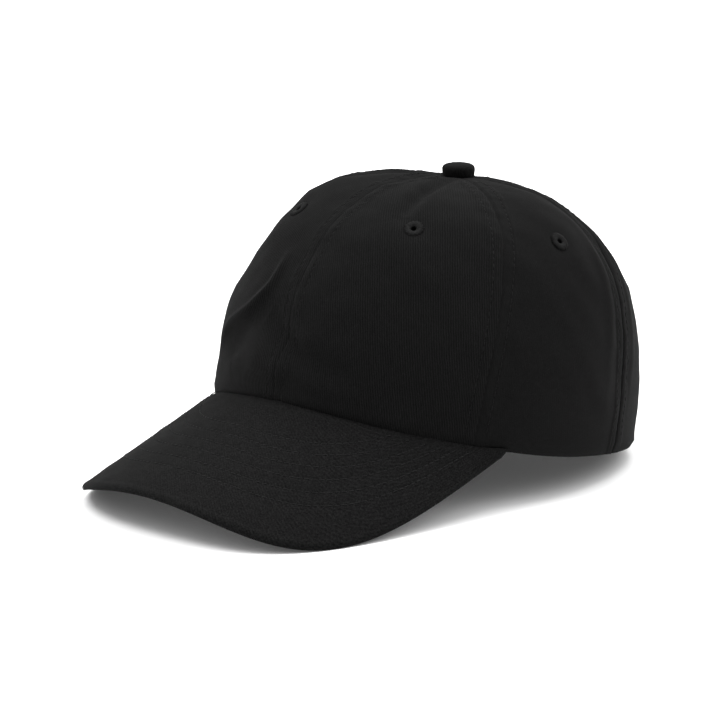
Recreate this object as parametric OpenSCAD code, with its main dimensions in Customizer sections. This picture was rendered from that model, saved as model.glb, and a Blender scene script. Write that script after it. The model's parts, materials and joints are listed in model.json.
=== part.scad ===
// Six-panel soft-crown cap with a curved brim and a strap-and-buckle closure.
// Millimetres. The cap stands on its rear hem and on the two side edges of its brim,
// brim towards -Y, wearer's left towards +X.
//
// The crown is one smooth surface, crown_point(azimuth, height fraction, depth):
// azimuth runs from 0 at the front seam through 90 at the left side to 180 at the back,
// the height fraction runs from 0 at the hem to 1 at the apex,
// and depth is the distance inwards from the outer face of the cloth.

/* [Crown] */
// Half the width of the head opening
half_width = 91; // [86:1:96]
// Head opening, centre to front seam
front_reach = 95.5; // [92:0.5:99]
// Head opening, centre to rear hem
rear_reach = 96; // [92:0.5:100]
// Height of the apex above the hem plane
crown_height = 113; // [106:1:120]
// Distance of the apex behind the centre
apex_back = 1; // [0:0.5:4]
// How square the crown's profile is at the front
front_fullness = 2.5; // [2.2:0.1:2.8]
// How square the crown's profile is at the sides
side_fullness = 3.0; // [2.6:0.1:3.2]
// How square the crown's profile is at the back
rear_fullness = 2.1; // [2:0.1:2.4]
// How far the back of the crown swells out above its hem
rear_swell = 8; // [4:1:10]
// How far each panel puffs out between its seams
panel_puff = 1.8; // [0.5:0.1:2.5]
// Thickness of the panel cloth
cloth = 0.9; // [0.7:0.1:1.1]
// Azimuth of the seam between front and side panels, at the hem
front_seam_angle = 59; // [56:1:62]
// Extra azimuth of that seam at mid height, where it bows backwards
front_seam_bow = 4.5; // [2:0.5:6]
// Azimuth of the seam between side and rear panels
rear_seam_angle = 110; // [106:1:114]
// Height of the gentle arch of the hem above the ears
side_arch = 3.5; // [2:0.5:5]

/* [Brim] */
// Length of the brim from the front seam to its tip
brim_length = 69.5; // [62:0.5:74]
// Downward slope of the brim
brim_slope = 31; // [26:1:34]
// Radius to which the brim is rolled about its long axis
brim_roll = 105.5; // [102:0.5:120]
// Azimuth where the brim's corners meet the hem
brim_half_angle = 69; // [66:1:71]
// Thickness of the brim board
board_thick = 1.6; // [1.2:0.1:2]
// Thickness of each brim cover
cover_thick = 0.7; // [0.5:0.1:0.9]
// Rows of stitching through the brim
stitch_rows = 6; // [4:1:7]
// Distance of the first row from the brim's edge
first_stitch_row = 18.5; // [6:0.5:20]
// Spacing of those rows
stitch_row_step = 6.4; // [5:0.1:7]

/* [Button and eyelets] */
// Outer diameter of the top button
button_d = 14.6; // [12:0.2:16]
// Height of the top button
button_h = 5; // [4:0.5:6]
// How far the button and the cloth round it are turned forwards, to stand level
button_tilt = 10; // [6:1:12]
// Outer diameter of a sewn eyelet
eyelet_d = 9.8; // [8:0.2:11]
// Hole through a sewn eyelet
eyelet_hole_d = 3.6; // [3:0.2:4.4]

/* [Back closure] */
// Half angle of the rear opening
opening_half_angle = 26.5; // [24:0.5:28]
// Height fraction of the top of the rear opening
opening_top = 0.3; // [0.26:0.01:0.32]
// Width of the adjusting strap
strap_w = 20; // [18:1:20]

/* [Stance] */
// Backward tilt of the cap as it stands
stance_tilt = 12; // [10:0.5:13]

/* [Hidden] */
$fn = 48;

cloth_colour = [0.09, 0.09, 0.09];
tape_colour = [0.11, 0.11, 0.11];
band_colour = [0.1, 0.1, 0.1];
board_colour = [0.2, 0.2, 0.2];
padding_colour = [0.85, 0.85, 0.82];
steel_colour = [0.55, 0.55, 0.57];

// How much steeper than its fullness the crown rises from the hem
front_rise = 1.03;
side_rise = 1.06;
rear_rise = 0.83;
// Height of the hem at the brim's corners
corner_height = 1;
// The hem settles from the corner height to the hem plane over this azimuth
corner_blend = 25;

// Gap left between neighbouring pieces of cloth
slack = 0.1;
// Radius of the stitching thread, and its clearance over the cloth
stitch_r = 0.25;
stitch_clear = 0.05;
// Radius of the hole left in the crown for the button's rivet
apex_hole_r = 2.5;

// Azimuths of the eyelets, and their height fraction
eyelet_angles = [32.5, (front_seam_angle + rear_seam_angle)/2 + 1, (rear_seam_angle + 180)/2];
eyelet_height = 0.51;
// The right front eyelet is sewn this much nearer to the front seam
right_eyelet_shift = 7;

// The brim's half outline is a cubic curve: how far its side runs forwards, and how
// wide its front handle is
outline_reach = 79.5;
outline_breadth = 86;
brim_cols = 30;
corner_share = 0.985;
brim_shares = [for (i = [0:brim_cols]) corner_share*sin(90*(2*i/brim_cols - 1))];
// The covers close over the board's edge within this distance
edge_round = 2.4;
brim_half_edge = 0.5;
crown_clear = 0.4;
half_board = board_thick/2;
cover_face = half_board + 0.1 + cover_thick;

tape_half_w = 5.5;
tape_outer = cloth + 0.35;
tape_inner = cloth + 0.9;

band_height = 32;
// The sweatband stands off the panels beside the rear opening, as a pocket for the strap
pocket_depth = 3.9;
pocket_from = 60;
pocket_to = 78;
pad_outer = tape_inner + 0.3;
pad_inner = pad_outer + 1.1;
band_outer = pad_inner + 0.2;
band_inner = band_outer + 0.8;

// The rear hem is an arc of this radius about a vertical axis, which the strap turns on
strap_axis_y = rear_reach - half_width*half_width/rear_reach;
hem_r = half_width*half_width/rear_reach;
strap_z = side_arch + 1.6;
strap_outer_r = hem_r - 2.2;
strap_thick = 1.2;
tab_thick = 0.8;
frame_thick = 0.8;
tab_outer_r = strap_outer_r - strap_thick - 0.4;
frame_outer_r = tab_outer_r - tab_thick - 0.3;
tab_fold_r = frame_outer_r - frame_thick - 0.3;
// Angles along the strap, from the middle of the back towards the wearer's left
frame_from = 3;
frame_to = 22;
window_from = 17.2;
window_to = 20;
ear_to = 10;
pin_angle = 6.5;
pin_r = 0.8;
hub_r = 1.4;
pin_centre_r = strap_outer_r + 0.4 + hub_r;
lever_tip = 16.5;
lever_thick = 1;
ear_thick = 0.8;
ear_gap = 0.4;
ear_r = pin_centre_r + hub_r;
pin_head_h = 0.5;
pin_over = ear_gap + ear_thick + 0.1;

function clamp01(x) = max(0, min(1, x));
function mix(a, b, f) = a + (b - a)*f;
function unit(v) = v/norm(v);

// ---------------------------------------------------------------- crown surface

function wrapped(a) = abs(a) > 180 ? 360 - abs(a) : abs(a);
function oval(a) = [half_width*sin(a), -(cos(a) > 0 ? front_reach : rear_reach)*cos(a)];
function fullness(a) = mix(cos(a) > 0 ? front_fullness : rear_fullness, side_fullness, pow(sin(a), 2));
function rise(a) = mix(cos(a) > 0 ? front_rise : rear_rise, side_rise, pow(sin(a), 2));

function roll_drop(x) = brim_roll - sqrt(brim_roll*brim_roll - x*x);
brim_corner = oval(brim_half_angle);
brim_front_height = corner_height + roll_drop(brim_corner[0])
    - tan(brim_slope)*(front_reach + brim_corner[1]);
function brim_height(p) = brim_front_height + tan(brim_slope)*(front_reach + p[1]) - roll_drop(p[0]);

function hem_height(a) =
    let (b = wrapped(a), past = b - brim_half_angle, u = past/(180 - brim_half_angle))
    past <= 0
        ? brim_height(oval(b))
        : corner_height*pow(clamp01(1 - past/corner_blend), 2)
            + side_arch*u*u*(1 - u)*27/4;

function front_seam(t) = front_seam_angle + front_seam_bow*sin(180*t);

// Share of the way across its panel, 0 and 1 at the seams
function across(a, t) =
    let (b = wrapped(a), s = front_seam(t))
    b < s ? b/s : b < rear_seam_angle ? (b - s)/(rear_seam_angle - s)
        : (b - rear_seam_angle)/(180 - rear_seam_angle);

function smooth_point(a, t) =
    let (n = fullness(a), o = oval(a), h = hem_height(a), back = max(0, -cos(a)),
        rho = pow(cos(90*t), 2/n), zeta = pow(sin(90*t), 2/(n*rise(a))),
        level = front_reach*tan(button_tilt)*rho*pow(1 - rho, 4))
    [o[0]*rho,
        apex_back + (o[1] - apex_back)*rho + rear_swell*back*back*sin(180*t)*(1 - t),
        h + (crown_height - h)*zeta - cos(a)*level];

function crown_normal(a, t) =
    let (da = 0.5, dt = 0.004)
    unit(cross(smooth_point(a + da, t) - smooth_point(a - da, t),
        smooth_point(a, min(0.9995, t + dt)) - smooth_point(a, max(0, t - dt))));

function puff(a, t) = panel_puff*sin(180*across(a, t))*sin(180*pow(t, 1.5));

function crown_point(a, t, depth) =
    smooth_point(a, t) + crown_normal(a, t)*(puff(a, t) - depth);

// Height fraction at which the crown has closed in to the rivet's hole
function top_fraction(a) = acos(pow(apex_hole_r/half_width, fullness(a)/2))/90;

// Height fraction of the lower edge of the cloth, which rises round the rear opening
function edge_fraction(a) =
    let (u = (180 - wrapped(a))/opening_half_angle)
    u < 1 ? opening_top*sqrt(1 - u*u) : 0;

// ---------------------------------------------------------------- solids from grids

function quad(a, b, c, d) = [[a, b, c], [a, c, d]];

// Closed slab between two grids of points. Seen from outside, rows of the outer grid
// run upwards and its columns run to the right.
module slab(outer, inner) {
    rows = len(outer);
    cols = len(outer[0]);
    n = rows*cols;
    function at(i, j) = i*cols + j;
    faces = [
        for (i = [0:rows - 2], j = [0:cols - 2]) each concat(
            quad(at(i, j), at(i + 1, j), at(i + 1, j + 1), at(i, j + 1)),
            quad(n + at(i, j), n + at(i, j + 1), n + at(i + 1, j + 1), n + at(i + 1, j))),
        for (j = [0:cols - 2]) each concat(
            quad(at(0, j), at(0, j + 1), n + at(0, j + 1), n + at(0, j)),
            quad(at(rows - 1, j + 1), at(rows - 1, j), n + at(rows - 1, j), n + at(rows - 1, j + 1))),
        for (i = [0:rows - 2]) each concat(
            quad(at(i + 1, 0), at(i, 0), n + at(i, 0), n + at(i + 1, 0)),
            quad(at(i, cols - 1), at(i + 1, cols - 1), n + at(i + 1, cols - 1), n + at(i, cols - 1)))
    ];
    polyhedron([for (row = concat(outer, inner)) each row], faces);
}

// Square-section thread along a path, lying on a surface with the given normals
module thread(path, normals, r) {
    n = len(path);
    function side(i) = unit(cross(normals[i], path[min(n - 1, i + 1)] - path[max(0, i - 1)]));
    points = [for (i = [0:n - 1]) each
        [path[i] + side(i)*r, path[i] + normals[i]*r, path[i] - side(i)*r, path[i] - normals[i]*r]];
    faces = concat(
        quad(0, 1, 2, 3),
        quad(4*n - 1, 4*n - 2, 4*n - 3, 4*n - 4),
        [for (i = [0:n - 2], k = [0:3]) each
            quad(4*i + k, 4*i + 4 + k, 4*i + 4 + (k + 1)%4, 4*i + (k + 1)%4)]);
    polyhedron(points, faces);
}

// ---------------------------------------------------------------- stance

function tilted(p) =
    let (y = p[1] - rear_reach)
    [p[0], rear_reach + y*cos(stance_tilt) + p[2]*sin(stance_tilt),
        -y*sin(stance_tilt) + p[2]*cos(stance_tilt)];
// The cap rests on the edges of its brim and on the buckle's pin, at height 0
rim_points = [for (w = [0:0.02:1], side = [-1, 1])
    let (p = outline(w)) tilted(on_brim(p) + brim_normal(p)*side*brim_half_edge)];
pin_foot = tilted([pin_centre_r*sin(pin_angle), strap_axis_y + pin_centre_r*cos(pin_angle),
    strap_z - pin_over - pin_head_h]);
stance_lift = -min(pin_foot[2], min([for (p = rim_points) p[2]]));
// The middle of its length is at y = 0
ear_corner = tilted([0, strap_axis_y + ear_r*cos(frame_from), strap_z + strap_w + ear_gap + ear_thick]);
stance_shift = -(min([for (p = rim_points) p[1]]) + ear_corner[1])/2;

module stand() {
    translate([0, stance_shift + rear_reach, stance_lift])
        rotate([-stance_tilt, 0, 0])
            translate([0, -rear_reach, 0])
                children();
}

module mirrored(flip) {
    if (flip) mirror([1, 0, 0]) children();
    else children();
}

// ---------------------------------------------------------------- panels and eyelets

panel_rows = 18;
seam_angles = function(k, t) k == 0 ? 0 : k == 1 ? front_seam(t) : k == 2 ? rear_seam_angle : 180;

// Rough radius of the crown at a height fraction
function crown_radius(t) = half_width*max(0.02, pow(cos(90*t), 0.8));
function seam_gap(t) = atan(slack/crown_radius(t));

// Shares across a panel; the rear panel has closer columns round its opening
plain_shares = [for (i = [0:14]) i/14];
opening_share = 1 - opening_half_angle/(180 - rear_seam_angle);
rear_shares = concat(
    [for (i = [0:5]) opening_share*i/6],
    [for (i = [0:9]) 1 - (1 - opening_share)*cos(90*i/9)]);

function panel_grid(k, shares, depth) = [
    for (i = [0:panel_rows]) [
        for (u = shares)
            let (a0 = mix(seam_angles(k, 0), seam_angles(k + 1, 0), u),
                t0 = edge_fraction(a0), t = mix(t0, top_fraction(a0), i/panel_rows),
                gap = seam_gap(t),
                a = mix(seam_angles(k, t) + gap, seam_angles(k + 1, t) - gap, u))
            crown_point(a, t, depth)
    ]
];

module at_eyelet(k, flip) {
    a = eyelet_angles[k] - (k == 0 && flip ? right_eyelet_shift : 0);
    p = crown_point(a, eyelet_height, cloth/2);
    n = crown_normal(a, eyelet_height);
    translate(p) rotate([0, acos(n[2]), atan2(n[1], n[0])]) children();
}

module panel(k, flip) {
    shares = k == 2 ? rear_shares : plain_shares;
    color(cloth_colour) stand() mirrored(flip) difference() {
        slab(panel_grid(k, shares, 0), panel_grid(k, shares, cloth));
        at_eyelet(k, flip) cylinder(h = 8, r = eyelet_d/2 + 0.05, center = true);
    }
}

module eyelet(k, flip) {
    bead_r = 0.8;
    color(cloth_colour) stand() mirrored(flip) at_eyelet(k, flip) rotate_extrude() {
        translate([eyelet_hole_d/2 + bead_r, 0]) circle(bead_r, $fn = 20);
        translate([eyelet_d/2 - bead_r, 0]) circle(bead_r, $fn = 20);
        translate([eyelet_hole_d/2 + bead_r, -bead_r])
            square([(eyelet_d - eyelet_hole_d)/2 - 2*bead_r, 2*bead_r]);
    }
}

module front_left_panel() { panel(0, false); }
module front_right_panel() { panel(0, true); }
module side_left_panel() { panel(1, false); }
module side_right_panel() { panel(1, true); }
module rear_left_panel() { panel(2, false); }
module rear_right_panel() { panel(2, true); }
module eyelet_front_left() { eyelet(0, false); }
module eyelet_front_right() { eyelet(0, true); }
module eyelet_side_left() { eyelet(1, false); }
module eyelet_side_right() { eyelet(1, true); }
module eyelet_rear_left() { eyelet(2, false); }
module eyelet_rear_right() { eyelet(2, true); }

// ---------------------------------------------------------------- tapes and topstitching

hem_clear = 0.012;

// Strip of cloth under a seam: stations are [azimuth, height fraction]
module tape(stations, sideways) {
    function row(i, depth) =
        let (s = stations[i], n = crown_normal(s[0], s[1]),
            c = smooth_point(s[0], s[1]) - n*depth, w = sideways(s[0], s[1])*tape_half_w)
        [c - w, c + w];
    last = len(stations) - 1;
    slab([for (i = [0:last]) row(i, tape_outer)], [for (i = [0:last]) row(i, tape_inner)]);
}

function along_hem(a, t) = unit(smooth_point(a + 0.5, t) - smooth_point(a - 0.5, t));

module centre_seam_tape() {
    steps = 14;
    near_apex = 0.985;
    front = [for (i = [0:steps]) [0, mix(hem_clear, near_apex, i/steps)]];
    back = [for (i = [0:steps]) [180, mix(near_apex, opening_top + 0.08, i/steps)]];
    color(tape_colour) difference() {
        stand() tape(concat(front, back), function(a, t) [1, 0, 0]);
        on_apex() cylinder(h = 8, r = rivet_r + 0.1, center = true);
    }
}

module seam_tape(k, flip) {
    steps = 16;
    tape_top = 0.9;
    stations = [for (i = [0:steps])
        let (t = mix(hem_clear, tape_top, i/steps)) [seam_angles(k, t), t]];
    color(tape_colour) stand() mirrored(flip) tape(stations, function(a, t) along_hem(a, t));
}

module front_left_seam_tape() { seam_tape(1, false); }
module front_right_seam_tape() { seam_tape(1, true); }
module rear_left_seam_tape() { seam_tape(2, false); }
module rear_right_seam_tape() { seam_tape(2, true); }

module rear_arch_tape() {
    steps = 30;
    edge_from = 0.006;
    arch_w = 0.065;
    function arch_row(grow, depth) = [
        for (i = [0:steps])
            let (q = 180*i/steps, a = 180 - (opening_half_angle + grow*110)*cos(q),
                t = edge_from + (opening_top + grow)*sin(q))
            crown_point(a, t, depth)
    ];
    function arch_grid(depth) = [arch_row(0.004, depth), arch_row(arch_w/2, depth), arch_row(arch_w, depth)];
    color(tape_colour) stand() slab(arch_grid(tape_outer), arch_grid(tape_inner));
}

// A row of stitches each side of every crown seam
module crown_topstitching() {
    stitch_off = 4.6;
    steps = 18;
    stitch_top = 0.93;
    module row(k, side) {
        t_from = k == 3 ? opening_top + 0.03 : 0.02;
        stations = [for (i = [0:steps])
            let (t = mix(t_from, stitch_top, i/steps))
            [seam_angles(k, t) + side*atan(stitch_off/crown_radius(t)), t]];
        thread([for (s = stations) crown_point(s[0], s[1], -stitch_r - stitch_clear)],
            [for (s = stations) crown_normal(s[0], s[1])], stitch_r);
    }
    color(cloth_colour) stand() for (flip = [false, true]) mirrored(flip) {
        row(0, 1);
        for (k = [1, 2], side = [-1, 1]) row(k, side);
        row(3, -1);
    }
}

// ---------------------------------------------------------------- button

apex = [0, apex_back, crown_height];
button_lift = 0.65;
shell_wall = 0.6;
shell_r = button_d/2 - shell_wall - 0.15;
shell_h = button_h - shell_wall - 1;
rivet_r = 1.4;
// The rivet's shank ends this far below the apex, under the washer
rivet_foot = -tape_inner - 1.6;

module on_apex() { stand() translate(apex) rotate([button_tilt, 0, 0]) children(); }

// Half profile of a low dome with a rounded shoulder
module dome_profile(r, h) {
    shoulder = 2;
    flat_h = h - 0.5;
    dome_r = r*r/1.8;
    intersection() {
        union() {
            translate([r - shoulder, flat_h - shoulder]) circle(shoulder, $fn = 40);
            square([r, flat_h - shoulder]);
            square([r - shoulder, flat_h]);
            translate([0, h - dome_r]) circle(dome_r, $fn = 160);
        }
        square([r, h]);
    }
}

module button_cover() {
    color(cloth_colour) on_apex() translate([0, 0, button_lift]) rotate_extrude() difference() {
        dome_profile(button_d/2, button_h);
        square([shell_r + 0.1, shell_h + 0.15]);
    }
}

module button_shell() {
    color(steel_colour) on_apex() translate([0, 0, button_lift + 0.1]) rotate_extrude() difference() {
        square([shell_r, shell_h]);
        square([shell_r - shell_wall, shell_h - shell_wall]);
    }
}

module button_rivet() {
    flange_r = 4.2;
    flange_h = 0.8;
    flange_z = button_lift + 1.2;
    tail_r = 2.4;
    tail_h = 0.6;
    color(steel_colour) on_apex() {
        translate([0, 0, rivet_foot]) cylinder(h = flange_z - rivet_foot, r = rivet_r);
        translate([0, 0, flange_z]) cylinder(h = flange_h, r = flange_r);
        translate([0, 0, rivet_foot - tail_h]) cylinder(h = tail_h, r = tail_r);
    }
}

module button_back_washer() {
    washer_r = 6;
    washer_h = 0.8;
    color(steel_colour) on_apex() translate([0, 0, rivet_foot + 0.1]) difference() {
        cylinder(h = washer_h, r = washer_r);
        translate([0, 0, -1]) cylinder(h = washer_h + 2, r = rivet_r + 0.05);
    }
}

// ---------------------------------------------------------------- brim

// Half outline of the brim as one cubic curve: corner, two handles, tip
function outline(w) =
    let (q = 1 - w, p0 = brim_corner, p1 = p0 - [0, outline_reach],
        p2 = [outline_breadth, -front_reach - brim_length], p3 = [0, -front_reach - brim_length])
    q*q*q*p0 + 3*q*q*w*p1 + 3*q*w*w*p2 + w*w*w*p3;
function on_brim(p) = [p[0], p[1], brim_height(p)];
function brim_normal(p) =
    unit([p[0]/sqrt(brim_roll*brim_roll - p[0]*p[0]), -tan(brim_slope), 1]);

function seam_at(u) = oval(u*brim_half_angle)*(1 + crown_clear/half_width);
function edge_at(u) = let (o = outline(1 - abs(u))) [sign(u)*o[0], o[1]];
function ray_length(u) = norm(edge_at(u) - seam_at(u));

// Point of the brim a distance back from its edge, lifted off its middle surface
function brim_lifted(u, back, lift) =
    let (p = mix(edge_at(u), seam_at(u), back/ray_length(u)))
    on_brim(p) + brim_normal(p)*lift;

// Rows run from the seam to the edge; the last ones are closer, round the edge
function brim_backs(u, inset) =
    let (inner = max(edge_round, inset), reach = ray_length(u))
    concat([for (i = [0:5]) mix(reach, min(inner, reach*0.5), i/5)],
        inset > 0 ? [] : [for (f = [0.6, 0.3, 0]) f*min(edge_round, reach*0.5)]);

function cover_lift(back) =
    brim_half_edge + (cover_face - brim_half_edge)*sqrt(1 - pow(1 - min(1, back/edge_round), 2));
function lining_lift(back) = max(0.05, cover_lift(back) - cover_thick);

module brim_layer(inset, top_lift, under_lift) {
    function grid(lift) =
        let (backs = [for (u = brim_shares) brim_backs(u, inset)])
        [for (i = [0:len(backs[0]) - 1]) [for (j = [0:brim_cols])
            brim_lifted(brim_shares[j], backs[j][i], lift(backs[j][i]))]];
    stand() slab(grid(under_lift), grid(top_lift));
}

module brim_board() {
    color(board_colour)
        brim_layer(edge_round + 0.3, function(b) half_board, function(b) -half_board);
}

module brim_top_cover() {
    color(cloth_colour)
        brim_layer(0, function(b) cover_lift(b), function(b) lining_lift(b));
}

module brim_under_cover() {
    color(cloth_colour)
        brim_layer(0, function(b) -lining_lift(b), function(b) -cover_lift(b));
}

module brim_stitching() {
    steps = 44;
    module row(back) {
        // The row stops where the brim is no wider than its distance from the edge
        shares = [for (i = [0:200]) if (ray_length(i/200*corner_share) > back + 2) i/200*corner_share];
        last = shares[len(shares) - 1];
        us = [for (i = [0:steps]) last*sin(90*(2*i/steps - 1))];
        thread([for (u = us) brim_lifted(u, back, cover_face + stitch_r + stitch_clear)],
            [for (u = us) brim_normal(mix(edge_at(u), seam_at(u), back/ray_length(u)))], stitch_r);
    }
    color(cloth_colour) stand() for (k = [0:stitch_rows - 1]) row(first_stitch_row + k*stitch_row_step);
}

// ---------------------------------------------------------------- sweatband

band_end = 180 - opening_half_angle - 1.5;

function band_standoff(a) =
    let (f = clamp01((pocket_to - (180 - wrapped(a)))/(pocket_to - pocket_from)))
    pocket_depth*f*f*(3 - 2*f);

// Height fraction at a distance above the hem
function fraction_at(a, rise_mm) =
    let (h = hem_height(a), n = fullness(a)*rise(a))
    asin(pow(rise_mm/(crown_height - h), n/2))/90;

module band(low, high, outer, inner) {
    cols = 64;
    rows = 4;
    function grid(depth) = [for (i = [0:rows]) [for (j = [0:cols])
        let (a = mix(-band_end, band_end, j/cols), t = fraction_at(a, mix(low, high, i/rows)),
            n = crown_normal(a, t))
        smooth_point(a, t) - n*(depth + band_standoff(a))]];
    stand() slab(grid(outer), grid(inner));
}

module sweatband_padding() {
    color(padding_colour) band(2, band_height - 3, pad_outer, pad_inner);
}

module sweatband_cover() {
    color(band_colour) band(0.8, band_height, band_outer, band_inner);
}

module inner_label() {
    cols = 8;
    label_half_angle = 12;
    label_edges = [8, 22];
    label_outer = band_inner + 0.15;
    label_inner = label_outer + 0.3;
    function grid(depth) = [for (h = label_edges) [for (j = [0:cols])
        let (a = mix(-label_half_angle, label_half_angle, j/cols), t = fraction_at(a, h))
        smooth_point(a, t) - crown_normal(a, t)*depth]];
    color(board_colour) stand() slab(grid(label_outer), grid(label_inner));
}

// ---------------------------------------------------------------- back closure

// Ring sector about the strap's axis: angles from the middle of the back towards +X
module sector(r_in, r_out, from, to, z, h) {
    translate([0, strap_axis_y, z]) rotate([0, 0, 90 - to]) rotate_extrude(angle = to - from, $fn = 180)
        translate([r_in, 0]) square([r_out - r_in, h]);
}

module adjusting_strap() {
    strap_end = 47;
    tail_end = 40;
    color(cloth_colour) stand()
        sector(strap_outer_r - strap_thick, strap_outer_r, -strap_end, tail_end, strap_z, strap_w);
}

module buckle_tab() {
    sewn_end = 36;
    fold_end = 25.5;
    nose_from = 18;
    nose_to = 19;
    inset = 1.5;
    z = strap_z + inset;
    h = strap_w - 2*inset;
    color(cloth_colour) stand() {
        sector(tab_outer_r - tab_thick, tab_outer_r, nose_from, sewn_end, z, h);
        sector(tab_fold_r - tab_thick, tab_fold_r, nose_from, fold_end, z, h);
        sector(tab_fold_r - tab_thick, tab_outer_r, nose_from, nose_to, z, h);
    }
}

module pin_bore(r) {
    translate([pin_centre_r*sin(pin_angle), strap_axis_y + pin_centre_r*cos(pin_angle), strap_z - 5])
        cylinder(h = strap_w + 10, r = r);
}

module buckle_frame() {
    low = strap_z - ear_gap - ear_thick;
    tall = strap_w + 2*ear_gap + 2*ear_thick;
    window_edge = ear_gap + ear_thick + 1;
    color(steel_colour) stand() difference() {
        union() {
            sector(frame_outer_r - frame_thick, frame_outer_r, frame_from, frame_to, low + 0.1, tall - 0.2);
            for (z = [low, strap_z + strap_w + ear_gap])
                sector(frame_outer_r - frame_thick/2, ear_r, frame_from + 0.2, ear_to, z, ear_thick);
        }
        sector(frame_outer_r - frame_thick - 1, frame_outer_r + 1, window_from, window_to,
            low + window_edge, tall - 2*window_edge);
        pin_bore(pin_r + 0.03);
    }
}

module buckle_pin() {
    color(steel_colour) stand()
        translate([pin_centre_r*sin(pin_angle), strap_axis_y + pin_centre_r*cos(pin_angle), 0]) {
            translate([0, 0, strap_z - pin_over]) cylinder(h = strap_w + 2*pin_over, r = pin_r);
            for (z = [strap_z - pin_over - pin_head_h, strap_z + strap_w + pin_over])
                translate([0, 0, z]) cylinder(h = pin_head_h, r = pin_r + 0.5);
        }
}

module buckle_lever() {
    low = strap_z + 0.2;
    tall = strap_w - 0.4;
    plate_in = pin_centre_r - hub_r + 0.15;
    plate_inset = 0.2;
    lip_inset = 4;
    lip_h = 0.9;
    color(steel_colour) stand() difference() {
        union() {
            sector(plate_in, plate_in + lever_thick, pin_angle, lever_tip,
                low + plate_inset, tall - 2*plate_inset);
            sector(plate_in + lever_thick/2, plate_in + lever_thick + lip_h, lever_tip - 1, lever_tip - 0.1,
                low + lip_inset, tall - 2*lip_inset);
            translate([pin_centre_r*sin(pin_angle), strap_axis_y + pin_centre_r*cos(pin_angle), low])
                cylinder(h = tall, r = hub_r);
        }
        pin_bore(pin_r + 0.1);
    }
}

front_left_panel();
front_right_panel();
side_left_panel();
side_right_panel();
rear_left_panel();
rear_right_panel();
eyelet_front_left();
eyelet_front_right();
eyelet_side_left();
eyelet_side_right();
eyelet_rear_left();
eyelet_rear_right();
centre_seam_tape();
front_left_seam_tape();
front_right_seam_tape();
rear_left_seam_tape();
rear_right_seam_tape();
rear_arch_tape();
crown_topstitching();
button_cover();
button_shell();
button_rivet();
button_back_washer();
brim_board();
brim_top_cover();
brim_under_cover();
brim_stitching();
sweatband_cover();
sweatband_padding();
inner_label();
adjusting_strap();
buckle_tab();
buckle_frame();
buckle_pin();
buckle_lever();
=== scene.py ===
"""Looks for a six-panel soft-crown cap: cloth panels, seams, stitching, brim, sweatband and back closure.

Shapes are worked out in millimetres in the cap's own frame, as the CAD has it (hem plane level, brim
towards -Y, wearer's left towards +X), and stand() takes them into the row frame in metres.
"""

import json
import math

import bpy
import numpy as np
from mathutils import Matrix, Vector


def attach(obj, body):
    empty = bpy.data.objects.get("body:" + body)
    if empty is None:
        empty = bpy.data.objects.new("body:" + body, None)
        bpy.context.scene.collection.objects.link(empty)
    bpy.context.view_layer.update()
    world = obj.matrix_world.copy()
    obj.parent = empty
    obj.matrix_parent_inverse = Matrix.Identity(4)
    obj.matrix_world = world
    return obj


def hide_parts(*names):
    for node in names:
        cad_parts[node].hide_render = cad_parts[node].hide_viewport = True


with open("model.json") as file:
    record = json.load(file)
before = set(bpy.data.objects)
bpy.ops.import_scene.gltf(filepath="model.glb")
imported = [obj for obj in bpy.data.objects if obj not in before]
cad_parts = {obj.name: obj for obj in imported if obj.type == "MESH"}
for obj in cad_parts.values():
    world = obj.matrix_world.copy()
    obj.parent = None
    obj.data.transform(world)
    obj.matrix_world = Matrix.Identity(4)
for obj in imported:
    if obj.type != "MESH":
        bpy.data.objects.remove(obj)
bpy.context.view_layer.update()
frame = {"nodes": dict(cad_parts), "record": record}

MM = 0.001
RECORD = frame["record"]
NODES = frame["nodes"]
MOUNTS = {m["name"]: m for m in RECORD["mounts"]}
JOINTS = {j["name"]: j for j in RECORD["behaviour"]["joints"]}

# ------------------------------------------------------------------ driving dimensions, mm and degrees

HALF_WIDTH = 91.0
FRONT_REACH = 95.5
REAR_REACH = 96.0
CROWN_HEIGHT = 113.0
APEX_BACK = 1.0
FULLNESS = {"front": 2.5, "side": 3.0, "rear": 2.1}
RISE = {"front": 1.03, "side": 1.06, "rear": 0.83}
REAR_SWELL = 8.0
FRONT_SEAM = 59.0
FRONT_SEAM_BOW = 4.5
REAR_SEAM = 110.0
SIDE_ARCH = 3.5
CORNER_HEIGHT = 1.0
CORNER_BLEND = 25.0
CLOTH = 0.9
APEX_HOLE_R = 2.5
BUTTON_TILT = 10.0

BRIM_LENGTH = 69.5
BRIM_SLOPE = 31.0
BRIM_ROLL = 105.5
BRIM_HALF_ANGLE = 69.0
OUTLINE_REACH = 79.5
OUTLINE_BREADTH = 86.0
CORNER_SHARE = 0.985
BRIM_FACE = 1.6
FIRST_ROW = 18.5
ROW_STEP = 6.4
BRIM_ROWS = 6

EYELET_ANGLES = (32.5, 85.5, 145.0)
EYELET_HEIGHT = 0.51
RIGHT_EYELET_SHIFT = 7.0
EYELET_R = 4.6
EYELET_HOLE_R = 1.25

OPENING_HALF_ANGLE = 26.5
OPENING_TOP = 0.3

STITCH_OFF = 4.6
STITCH_PITCH = 3.1
STITCH_GAP = 0.75
THREAD_R = 0.24

HEM_R = HALF_WIDTH**2 / REAR_REACH
STRAP_AXIS_Y = REAR_REACH - HEM_R
STRAP_Z = SIDE_ARCH + 1.6
STRAP_W = 20.0
STRAP_R = HEM_R - 2.2
STRAP_WAVE = 0.1

BAND_HEIGHT = 32.0
POCKET_DEPTH = 3.9
POCKET_FROM = 60.0
POCKET_TO = 78.0


# ------------------------------------------------------------------ stance

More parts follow.
